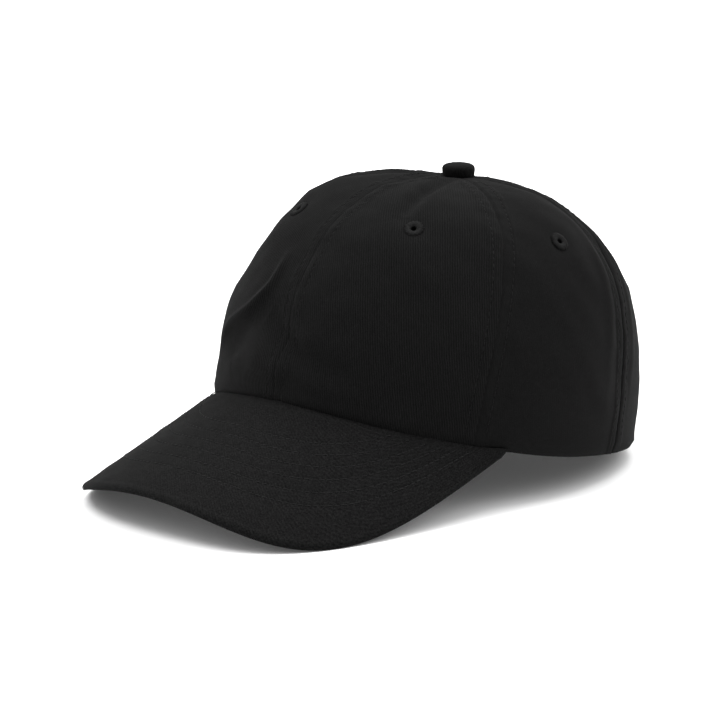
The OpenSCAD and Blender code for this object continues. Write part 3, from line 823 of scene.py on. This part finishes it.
def arch_row(off_mm):
    """Stitch row beside the rear opening's edge."""
    q = np.radians(np.linspace(4, 176, 160))
    a = 180 - (OPENING_HALF_ANGLE + off_mm / 1.5) * np.cos(q)
    t = 0.012 + (OPENING_TOP + off_mm / 155) * np.sin(q)
    a = np.where(a > 180, a - 360, a)
    return crown_at(a, t), crown_normal(a, t)


piece = stitches("rear_opening_stitches", [arch_row(2.2), arch_row(7.0)], STITCH_THREAD)

# ------------------------------------------------------------------ brim

BRIM_WORN = 3.0
ROW_DENT = 0.15


def outline(w):
    w = np.asarray(w, float)[..., None]
    q = 1 - w
    tip_y = -FRONT_REACH - BRIM_LENGTH
    p0, p1 = np.array(CORNER), np.array([CORNER[0], CORNER[1] - OUTLINE_REACH])
    p2, p3 = np.array([OUTLINE_BREADTH, tip_y]), np.array([0, tip_y])
    return q**3 * p0 + 3 * q * q * w * p1 + 3 * q * w * w * p2 + w**3 * p3


def brim_seam(u):
    x, y = oval(u * BRIM_HALF_ANGLE)
    return np.stack([x, y], -1) * (1 + 0.2 / HALF_WIDTH)


def brim_edge(u):
    """The right front corner of the brim is worn a little shorter."""
    o = outline(1 - np.abs(u))
    edge = np.stack([np.sign(u) * o[..., 0], o[..., 1]], -1)
    worn = BRIM_WORN * bell(np.asarray(u) + 0.34, 0.2)
    return edge + worn[..., None] * unit(brim_seam(u) - edge)


def brim_normal(p):
    return unit(np.stack([p[..., 0] / np.sqrt(BRIM_ROLL**2 - p[..., 0] ** 2),
                          np.full(p.shape[:-1], -SLOPE), np.ones(p.shape[:-1])], -1))


def brim_point(u, back, lift):
    """Point a distance back from the brim's edge, lifted off its middle surface."""
    edge, seam = brim_edge(u), brim_seam(u)
    reach = np.linalg.norm(edge - seam, axis=-1)
    p = edge + (seam - edge) * (back / reach)[..., None]
    q = np.concatenate([p, brim_height(p[..., 0], p[..., 1])[..., None]], -1)
    return q + brim_normal(p) * np.asarray(lift)[..., None]


def brim_relief(back, p):
    """Stitch rows pull the cover down; between them it stands a little proud."""
    total = np.zeros_like(back)
    for k in range(BRIM_ROWS):
        total -= ROW_DENT * bell(back - FIRST_ROW - k * ROW_STEP, 0.8)
    total += 0.07 * ripple(p, 9, 21) + 0.1 * ripple(p, 34, 22)
    total += 0.08 * bell(back - 1.9, 1.2) - 0.1 * bell(back - 4.2, 1.0)
    return total


BRIM_TUCK = 0.65
BRIM_INSET = 1.3
BOARD_FACE = 0.95
EDGE_ROUND = 2.6
EDGE_HALF = 0.12


def brim_cover(name, node, face, material):
    cols, rows_back = 240, 150
    u = CORNER_SHARE * np.sin(np.linspace(-math.pi / 2, math.pi / 2, cols))
    reach = np.linalg.norm(brim_edge(u) - brim_seam(u), axis=-1)
    s = np.linspace(0, 1, rows_back)
    ease = 1 - (1 - s) ** 1.25
    near = np.minimum(EDGE_ROUND, reach * 0.45)
    turn = np.linspace(0, math.pi / 2, 9)[1:]
    start = reach + BRIM_INSET
    body = start[None] + (near - start)[None] * ease[:, None]
    rim = near[None] * (1 - np.sin(turn))[:, None]
    back = np.concatenate([body, rim])
    uu = np.broadcast_to(u[None], back.shape)
    flat = brim_point(uu, back, np.zeros_like(back))
    round_off = np.sqrt(np.clip(1 - (1 - np.clip(back / near[None], 0, 1)) ** 2, 0, 1))
    waves = brim_relief(back, flat) * smooth(back, 0, 1.5)
    tucked = BRIM_TUCK * bell(reach[None] - back, 2.2) * smooth(reach, 4, 16)[None]
    lift = EDGE_HALF + (BRIM_FACE - EDGE_HALF) * round_off + waves - tucked
    # Away from its rim the cover stays above the board's face. The board is not worn with the cloth, so at
    # the worn corner it still comes through the rim by up to about 0.3 mm
    lift = np.where(back > near[None] + 1.5, np.maximum(lift, BOARD_FACE), lift)
    thin = np.maximum(lift - 0.7, 0.04)
    outer, inner = brim_point(uu, back, face * lift), brim_point(uu, back, face * thin)
    uv = outer[..., :2].copy()
    uv[..., 1] = back
    if face > 0:
        outer, inner, uv = outer[::-1], inner[::-1], uv[::-1]
    piece = slab(name, outer, inner, uv, material)
    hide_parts(node)


brim_cover("brim_top_cloth", "brim_top_cover", 1, BRIM_TWILL)
brim_cover("brim_under_cloth", "brim_under_cover", -1, UNDER_TWILL)


def brim_row(back, face):
    share = np.linspace(0, CORNER_SHARE, 400)
    reach = np.linalg.norm(brim_edge(share) - brim_seam(share), axis=-1)
    last = share[reach > back + 1.5][-1]
    u = last * np.sin(np.linspace(-math.pi / 2, math.pi / 2, 300))
    backs = np.full_like(u, back)
    mid = brim_point(u, backs, np.zeros_like(u))
    lift = BRIM_FACE + brim_relief(backs, mid)
    p = brim_point(u, backs, face * lift)
    return p, brim_normal(mid[:, :2]) * face


rows = [brim_row(FIRST_ROW + k * ROW_STEP, face) for k in range(BRIM_ROWS) for face in (1, -1)]
piece = stitches("brim_row_stitches", rows, BRIM_THREAD_PAINTED_HIGHLIGHT)
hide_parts("brim_stitching")

# ------------------------------------------------------------------ button


def cloth_dome(name, profile, thick, segments, material, bulge):
    """Cloth turned about the crown's apex from a (radius, height) profile of its face, bottom to top."""
    turn = np.linspace(0, 2 * math.pi, segments, endpoint=False)
    face = np.array(profile, float)
    lining = face - thick * unit(np.stack([np.gradient(face[:, 1]), -np.gradient(face[:, 0])], -1))
    c, s = math.cos(math.radians(BUTTON_TILT)), math.sin(math.radians(BUTTON_TILT))
    layers = []
    for r, z in (face.T, lining.T):
        r = np.maximum(r, 0.1)
        wave = bulge(z[:, None], turn[None])
        x, y = r[:, None] * np.cos(turn)[None] * wave, r[:, None] * np.sin(turn)[None] * wave
        z = np.broadcast_to(z[:, None], x.shape)
        turned = np.stack([x, y * c - z * s + APEX_BACK, y * s + z * c + CROWN_HEIGHT], -1)
        layers.append(turned.reshape(-1, 3))
    rows = len(face)
    n = rows * segments
    faces = []
    for j in range(segments):
        k = (j + 1) % segments
        for i in range(rows - 1):
            a, b, d, e = i * segments + j, i * segments + k, (i + 1) * segments + k, (i + 1) * segments + j
            faces += [(a, b, d, e), (n + a, n + e, n + d, n + b)]
        faces.append((k, j, n + j, n + k))
    top = [(rows - 1) * segments + j for j in range(segments)]
    faces += [tuple(top), tuple(n + j for j in top[::-1])]
    points = np.concatenate(layers)
    uv = points[:, :2].copy()
    uv[:, 1] += np.tile(np.repeat(face[:, 1], segments), 2)
    return mesh_object(name, points, faces, uv, material)


def gathers(z, turn):
    """Cloth gathered under the button's shoulder."""
    low = np.clip(1 - (z - 0.2) / 2.6, 0, 1)
    return 1 + 0.012 * low * np.sin(17 * turn) + 0.006 * low * np.sin(29 * turn + 1)


BUTTON_R = 7.4
BUTTON_LIFT = 0.75
dome = [(6.6, -1.1), (6.9, -0.4), (7.15, 0.4), (7.3, 1.3), (BUTTON_R, 2.2), (7.36, 3.0), (7.1, 3.75),
        (6.5, 4.35), (5.6, 4.78), (4.3, 5.08), (2.8, 5.26), (1.4, 5.36), (0.3, 5.4)]
piece = cloth_dome("button_cloth", [(r, z + BUTTON_LIFT) for r, z in dome], 0.5, 96, BUTTON_TWILL, gathers)
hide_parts("button_cover")
for node in ("button_shell", "button_rivet", "button_back_washer"):
    repaint(node, BUTTON_METAL)
repaint("brim_board", BOARD_PLASTIC)

# ------------------------------------------------------------------ inner tapes

TAPE_HALF_W = 5.6
TAPE_THICK = 0.55
TAPE_ROW_OFF = 4.2


def tape(name, node, a, t, sideways):
    """Folded tape along a seam, crowned across, with two rows of stitches."""
    s = np.linspace(-1, 1, 13)
    base = smooth_point(a, t)
    n = crown_normal(a, t)
    soft = 0.12 * ripple(base, 11, 31)
    depth = CLOTH + 0.5 + soft
    mid = base + n * sag(base, t)[:, None]
    across_mm = s[None] * TAPE_HALF_W
    spread = sideways[:, None] * across_mm[..., None]
    outer = mid[:, None] - n[:, None] * (depth[:, None] + 0 * across_mm)[..., None] + spread
    inner = outer - n[:, None] * (TAPE_THICK * (1 - 0.75 * np.abs(s) ** 6))[None, :, None]
    outer = outer - n[:, None] * (0.1 * np.abs(s) ** 6)[None, :, None]
    uv = np.stack([np.broadcast_to(across_mm, outer.shape[:2]), lengths(outer, 0)], -1)
    piece = slab(name, outer, inner, uv, TAPE_WEAVE)
    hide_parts(node)
    rows = []
    for off in (TAPE_ROW_OFF, -TAPE_ROW_OFF):
        path = mid + sideways * off - n * (depth + TAPE_THICK)[:, None]
        rows.append((path, -n))
    return rows


def around(a, t):
    return unit(smooth_point(a + 0.5, t) - smooth_point(a - 0.5, t))


tape_rows = []
t_up = np.linspace(0.012, 0.985, 110)
t_down = np.linspace(0.985, OPENING_TOP + 0.075, 90)
a = np.concatenate([np.zeros_like(t_up), np.full_like(t_down, 180.0)])
t = np.concatenate([t_up, t_down])
tape_rows += tape("centre_tape_cloth", "centre_seam_tape", a, t, np.tile([1.0, 0, 0], (len(a), 1)))
for k, place in ((1, "front"), (2, "rear")):
    for side, sign in SIDES.items():
        t = np.linspace(0.012, 0.9, 110)
        a = seam_azimuth(k, t) * sign
        tape_rows += tape(f"{place}_{side}_tape_cloth", f"{place}_{side}_seam_tape", a, t, around(a, t))

arch_q = np.radians(np.linspace(0, 180, 90))


def arch_point(grow, depth):
    a = 180 - (OPENING_HALF_ANGLE + grow * 110) * np.cos(arch_q)
    t = 0.006 + (OPENING_TOP + grow) * np.sin(arch_q)
    b = np.where(a > 180, a - 360, a)
    return crown_at(b, t, depth)


grows = np.linspace(0.002, 0.066, 9)
outer = np.stack([arch_point(g, CLOTH + 0.2) for g in grows])
inner = np.stack([arch_point(g, CLOTH + 0.75) for g in grows])
uv = np.stack([lengths(outer, 1), lengths(outer, 0)], -1)
piece = slab("rear_arch_tape_cloth", outer, inner, uv, TAPE_WEAVE)
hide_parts("rear_arch_tape")
piece = stitches("tape_stitches", tape_rows, STITCH_THREAD, pitch=3.4)

# ------------------------------------------------------------------ sweatband

BAND_END = 180 - OPENING_HALF_ANGLE - 1.5


def band_standoff(a):
    f = np.clip((POCKET_TO - (180 - wrapped(a))) / (POCKET_TO - POCKET_FROM), 0, 1)
    return POCKET_DEPTH * f * f * (3 - 2 * f)


def band_point(a, height, depth):
    """Point of the sweatband: height above the hem and depth inwards from the crown's face."""
    t = fraction_at(a, height)
    p = smooth_point(a, t)
    return p + crown_normal(a, t) * (sag(p, t) - depth - band_standoff(a))[..., None]


BAND_DEGREE = 1.6
BAND_RADIUS = 92
PAD_DEPTH = (2.4, 3.3)
COVER_DEPTH = (2.1, 4.2)
LABEL_LIFT = 0.38


def band_ground(a, height):
    """Flat place in mm, along and up the band, that its waves are drawn over."""
    return np.stack([a * BAND_DEGREE, height, 0 * a], -1)


def band_map(a, up):
    return np.stack([np.radians(a) * BAND_RADIUS, np.broadcast_to(up, a.shape)], -1)


def band_wave(a, height):
    ground = band_ground(a, height)
    sway = 0.55 * ripple(ground, 46, 41) + 0.2 * ripple(ground, 13, 42)
    return sway * smooth(height, 4, 30)


def sweatband():
    """Sleeve of cloth folded over its top edge, closed at the foot, round the padding."""
    a = np.linspace(-BAND_END, BAND_END, 420)
    mid, half = sum(COVER_DEPTH) / 2, (COVER_DEPTH[1] - COVER_DEPTH[0]) / 2
    foot, top = 0.8, BAND_HEIGHT - half
    rise = np.linspace(foot, top, 34)
    turn = np.linspace(0, math.pi, 13)[1:-1]
    heights = np.concatenate([rise, top + half * np.sin(turn), rise[::-1]])
    depths = np.concatenate([np.full(34, mid + half), mid + half * np.cos(turn), np.full(34, mid - half)])
    quilt = 0.35 * np.sin(np.pi * np.clip((heights - 3) / (BAND_HEIGHT - 8), 0, 1)) ** 0.5
    quilt -= 0.3 * bell(heights - BAND_HEIGHT + 3.2, 0.7)
    quilt -= 0.35 * bell(heights - 3.0, 0.7)
    inside = depths > mid
    aa, hh = np.broadcast_arrays(a[None], heights[:, None])
    pucker = 0.1 * ripple(band_ground(aa, hh), 5, 43)
    wave = band_wave(aa, hh)
    skin = depths[:, None] + wave + (quilt[:, None] + pucker) * inside[:, None]
    outer = band_point(aa, hh, skin)
    lining = np.where(inside, depths - 0.5, depths + 0.5)
    arch = (heights > top) & (np.abs(depths - mid) < half)
    lining = np.where(arch, mid + (depths - mid) * 0.5, lining)
    low = np.where(arch, hh[:, 0] - 0.5 * np.sin(np.arccos(np.clip((depths - mid) / half, -1, 1))), heights)
    hl = np.broadcast_to(low[:, None], aa.shape)
    inner = band_point(aa, hl, lining[:, None] + band_wave(aa, hl))
    run = np.concatenate([[0], np.cumsum(np.hypot(np.diff(heights), np.diff(depths)))])
    uv = band_map(aa, run[:, None])
    flip = slice(None, None, -1)
    cloth = slab("sweatband_cloth", outer[:, flip], inner[:, flip], uv[:, flip], BAND_TWILL)
    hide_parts("sweatband_cover")
    rows = []
    for height in (3.0, BAND_HEIGHT - 3.2):
        h = np.full_like(a, height)
        base = 0.05 * ripple(band_ground(a, h), 5, 43)
        path = band_point(a, h, mid + half + band_wave(a, h) + base + 0.02)
        rows.append((path, -crown_normal(a, fraction_at(a, h))))
    piece = stitches("sweatband_stitches", rows, STITCH_THREAD)
    (long, wide), area = cut(band_point(aa, hh, depths[:, None] + 0 * aa))


def band_padding():
    """Soft strip inside the sleeve, crowned across its height."""
    a = np.linspace(-BAND_END + 2, BAND_END - 2, 260)
    rise = np.linspace(3.5, BAND_HEIGHT - 4.5, 17)
    crowned = 1 - np.abs(np.linspace(-1, 1, 17)) ** 5
    aa, hh = np.broadcast_arrays(a[None], rise[:, None])
    middle = sum(PAD_DEPTH) / 2
    half = (PAD_DEPTH[1] - PAD_DEPTH[0]) / 2 * (0.25 + 0.75 * crowned)[:, None]
    wave = band_wave(aa, hh)
    outer, inner = band_point(aa, hh, middle - half + wave), band_point(aa, hh, middle + half + wave)
    uv = band_map(aa, hh)
    piece = slab("sweatband_pad", outer, inner, uv, PAD_FLEECE)
    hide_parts("sweatband_padding")


sweatband()
band_padding()


def inner_label():
    """Blank woven label on the sweatband, inside the front."""
    a = np.linspace(-12, 12, 60)
    rise = np.linspace(8.5, 22, 26)
    aa, hh = np.broadcast_arrays(a[None], rise[:, None])
    lift = COVER_DEPTH[1] + LABEL_LIFT + band_wave(aa, hh)
    outer, inner = band_point(aa, hh, lift + 0.06), band_point(aa, hh, lift + 0.36)
    uv = band_map(aa, hh)
    label = slab("label_cloth", outer, inner, uv, LABEL_WEAVE)
    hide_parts("inner_label")
    inset = 1.0
    run = np.linspace(0, 1, 60)
    low, high, edge = rise[0] + inset, rise[-1] - inset, 12 - inset / 1.6
    rows = []
    for a0, a1, h0, h1 in ((-edge, edge, low, low), (-edge, edge, high, high),
                           (-edge, -edge, low, high), (edge, edge, low, high)):
        aa, hh = a0 + (a1 - a0) * run, h0 + (h1 - h0) * run
        path = band_point(aa, hh, COVER_DEPTH[1] + LABEL_LIFT + band_wave(aa, hh) + 0.38)
        rows.append((path, -crown_normal(aa, fraction_at(aa, hh))))
    piece = stitches("label_stitches", rows, STITCH_THREAD, pitch=2.2, r=0.16)


inner_label()

# ------------------------------------------------------------------ back closure


def on_arc(angle, radius, z):
    """Point on the back closure: angle in degrees from the middle of the back towards the wearer's left."""
    return np.stack([radius * sin_d(angle), STRAP_AXIS_Y + radius * cos_d(angle), z + 0 * angle * radius], -1)


def arc_out(angle):
    """Direction straight out from the back closure's axis."""
    return on_arc(angle, np.ones_like(angle), 0 * angle) - [0, STRAP_AXIS_Y, 0]


def cloth_strip(name, node, body, from_to, radius_out, thick, z, width, round_end, rows_off):
    """Folded cloth strap: flat, with soft rounded edges and a rounded end."""
    angle = np.linspace(*from_to, 150)
    v = np.linspace(-1, 1, 25)
    arc = np.radians(from_to[1] - angle) * radius_out
    ease = np.sqrt(np.clip(1 - (1 - np.clip(arc / round_end, 0, 1)) ** 2, 0, 1))
    half = width / 2 * (0.45 + 0.55 * ease)
    aa, vv = np.broadcast_arrays(angle[None], v[:, None])
    zz = z + width / 2 + vv * half[None]
    puff = (1 - np.abs(vv) ** 8) * 0.5 + 0.5
    ground = np.stack([aa * 1.5, zz, 0 * aa], -1)
    soft = STRAP_WAVE * ripple(ground, 12, 51)
    dent = sum(bell(np.abs(vv) * half[None] - off, 0.6) for off in rows_off) * 0.12
    centre = radius_out - thick / 2 + 0 * aa
    outer = on_arc(aa, centre + thick / 2 * puff - dent + soft * 0.5, zz)
    inner = on_arc(aa, centre - thick / 2 * puff + dent + soft * 0.5, zz)
    uv = np.stack([np.radians(aa) * radius_out, zz], -1)
    flip = slice(None, None, -1)
    strip = slab(name, outer[:, flip], inner[:, flip], uv[:, flip], STRAP_TWILL, body)
    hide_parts(node)
    rows = []
    sewn = angle[2:-6]
    for off in rows_off:
        for sign in (1, -1):
            for face in (1, -1):
                r = radius_out - thick / 2 + face * (thick / 2 - 0.06)
                path = on_arc(sewn, r + 0 * sewn, z + width / 2 + sign * off + 0 * sewn)
                rows.append((path, arc_out(sewn) * face))
    piece = stitches(name + "_stitches", rows, STITCH_THREAD, body, pitch=2.8, r=0.2)


cloth_strip("strap_cloth", "adjusting_strap", "strap", (-47, 40), STRAP_R, 1.2, STRAP_Z, STRAP_W, 9.0, (8.0,))


def buckle_tab():
    """Short doubled tab folded round the buckle's bar."""
    tab_out = STRAP_R - 1.6
    thick, gap = 0.8, 0.3
    fold_in = tab_out - thick - gap - thick - gap - thick
    mid_r, half = (tab_out + fold_in) / 2, (tab_out - fold_in) / 2
    turn = np.linspace(math.pi / 2, 3 * math.pi / 2, 17)
    nose = 18.0 + np.degrees(half / mid_r)
    outer_leaf = np.linspace(36, nose, 50)
    inner_leaf = np.linspace(nose, 25.5, 24)

    def round_fold(inset):
        """Angles and radii of the cloth's outer face, or of a layer inset from it."""
        reach = half - inset
        angles = [outer_leaf, nose + np.degrees(reach * np.cos(turn) / mid_r), inner_leaf]
        radii = [np.full(50, tab_out - inset), mid_r + reach * np.sin(turn), np.full(24, fold_in + inset)]
        return np.concatenate(angles), np.concatenate(radii)

    angles, radii = round_fold(0)
    lining_angles, lining = round_fold(thick)
    z = np.linspace(STRAP_Z + 1.5, STRAP_Z + STRAP_W - 1.5, 17)
    zz, aa = np.broadcast_arrays(z[:, None], angles[None])
    outer = on_arc(aa, np.broadcast_to(radii, aa.shape), zz)
    inner = on_arc(np.broadcast_to(lining_angles, aa.shape), np.broadcast_to(lining, aa.shape), zz)
    uv = np.stack([np.broadcast_to(lengths(outer[0], 0), aa.shape), zz], -1)
    tab = slab("buckle_tab_cloth", outer, inner, uv, STRAP_TWILL)
    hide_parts("buckle_tab")
    rows = []
    zs = np.linspace(STRAP_Z + 2.5, STRAP_Z + STRAP_W - 2.5, 40)
    for angle in (24.0, 27.5):
        path = on_arc(np.full_like(zs, angle), np.full_like(zs, tab_out), zs)
        rows.append((path, arc_out(np.full_like(zs, angle))))
    piece = stitches("buckle_tab_stitches", rows, STITCH_THREAD, pitch=2.2, r=0.2)


buckle_tab()

BUCKLE_EDGE = 0.18
for node in ("buckle_frame", "buckle_pin", "buckle_lever"):
    repaint(node, BUCKLE_METAL)
    bevel = NODES[node].modifiers.new("edges", "BEVEL")
    bevel.width = BUCKLE_EDGE * MM
    bevel.segments = 2
    bevel.limit_method = "ANGLE"
    bevel.angle_limit = math.radians(40)

# ------------------------------------------------------------------ floor, light and camera


FLOOR_HALF = 12.0
FLOOR_GLOW = 0.055
SKY_LEVEL = 0.22
SKY_OVERHEAD = 1.5
CAMERA_AZIMUTH = 45.94
CAMERA_ELEVATION = 12.9
CAMERA_ROLL = -1.09
CAMERA_TARGET = (-0.0079, 0.003, 0.0514)
CAMERA_DISTANCE = 1.982
CAMERA_LENS = 223.4
# Name, place, target, size and power
LIGHTS = (("key", (-0.85, -0.9, 2.75), (0, 0, 0.05), (1.6, 1.6), 55),
          ("fill", (1.9, 1.9, 2.0), (0, 0, 0.05), (2.0, 2.0), 26),
          ("top", (-0.1, 1.0, 2.5), (0, 0, 0.08), (2.0, 1.6), 53))


def floor():
    mesh = bpy.data.meshes.new("floor")
    corners = [(x * FLOOR_HALF, y * FLOOR_HALF, 0) for x, y in ((-1, -1), (1, -1), (1, 1), (-1, 1))]
    mesh.from_pydata(corners, [], [(0, 1, 2, 3)])
    ground = bpy.data.objects.new("floor", mesh)
    bpy.context.collection.objects.link(ground)
    mesh.materials.append(Graph("floor_paint").surface(
        Base_Color=(0.9, 0.9, 0.9, 1), Emission_Color=(1, 1, 1, 1), Emission_Strength=FLOOR_GLOW,
        Roughness=0.9, Specular_IOR_Level=0.1))


def area_light(name, place, target, size, power):
    data = bpy.data.lights.new(name, "AREA")
    data.shape = "RECTANGLE"
    data.size, data.size_y = size
    data.energy = power
    lamp = bpy.data.objects.new(name, data)
    lamp.location = place
    lamp.rotation_euler = (Vector(target) - Vector(place)).to_track_quat("-Z", "Y").to_euler()
    bpy.context.collection.objects.link(lamp)


def camera():
    azimuth, elevation, roll = map(math.radians, (CAMERA_AZIMUTH, CAMERA_ELEVATION, CAMERA_ROLL))
    target = Vector(CAMERA_TARGET)
    back = Vector((math.sin(azimuth) * math.cos(elevation), -math.cos(azimuth) * math.cos(elevation),
                   math.sin(elevation)))
    level = Vector((math.cos(azimuth), math.sin(azimuth), 0))
    up = back.cross(level)
    right = level * math.cos(roll) + up * math.sin(roll)
    over = up * math.cos(roll) - level * math.sin(roll)
    data = bpy.data.cameras.new("camera")
    data.lens = CAMERA_LENS
    data.sensor_width = 36
    data.clip_end = 50
    eye = bpy.data.objects.new("camera", data)
    place = target + back * CAMERA_DISTANCE
    eye.matrix_world = Matrix((
        (right.x, over.x, back.x, place.x),
        (right.y, over.y, back.y, place.y),
        (right.z, over.z, back.z, place.z),
        (0, 0, 0, 1)))
    bpy.context.collection.objects.link(eye)
    bpy.context.scene.camera = eye


def sky():
    """Soft white surroundings, brighter overhead than at the horizon."""
    world = bpy.data.worlds.new("studio")
    world.use_nodes = True
    tree = world.node_tree
    place = tree.nodes.new("ShaderNodeTexCoord")
    split = tree.nodes.new("ShaderNodeSeparateXYZ")
    ramp = tree.nodes.new("ShaderNodeMapRange")
    tree.links.new(place.outputs["Generated"], split.inputs[0])
    tree.links.new(split.outputs[2], ramp.inputs["Value"])
    for socket, value in (("From Min", 0.0), ("From Max", 1.0), ("To Min", SKY_LEVEL),
                          ("To Max", SKY_OVERHEAD)):
        ramp.inputs[socket].default_value = value
    tree.nodes["Background"].inputs[0].default_value = (1, 1, 1, 1)
    tree.links.new(ramp.outputs[0], tree.nodes["Background"].inputs[1])
    bpy.context.scene.world = world


floor()
sky()
for light in LIGHTS:
    area_light(*light)
bpy.context.scene.view_settings.view_transform = "Standard"
camera()
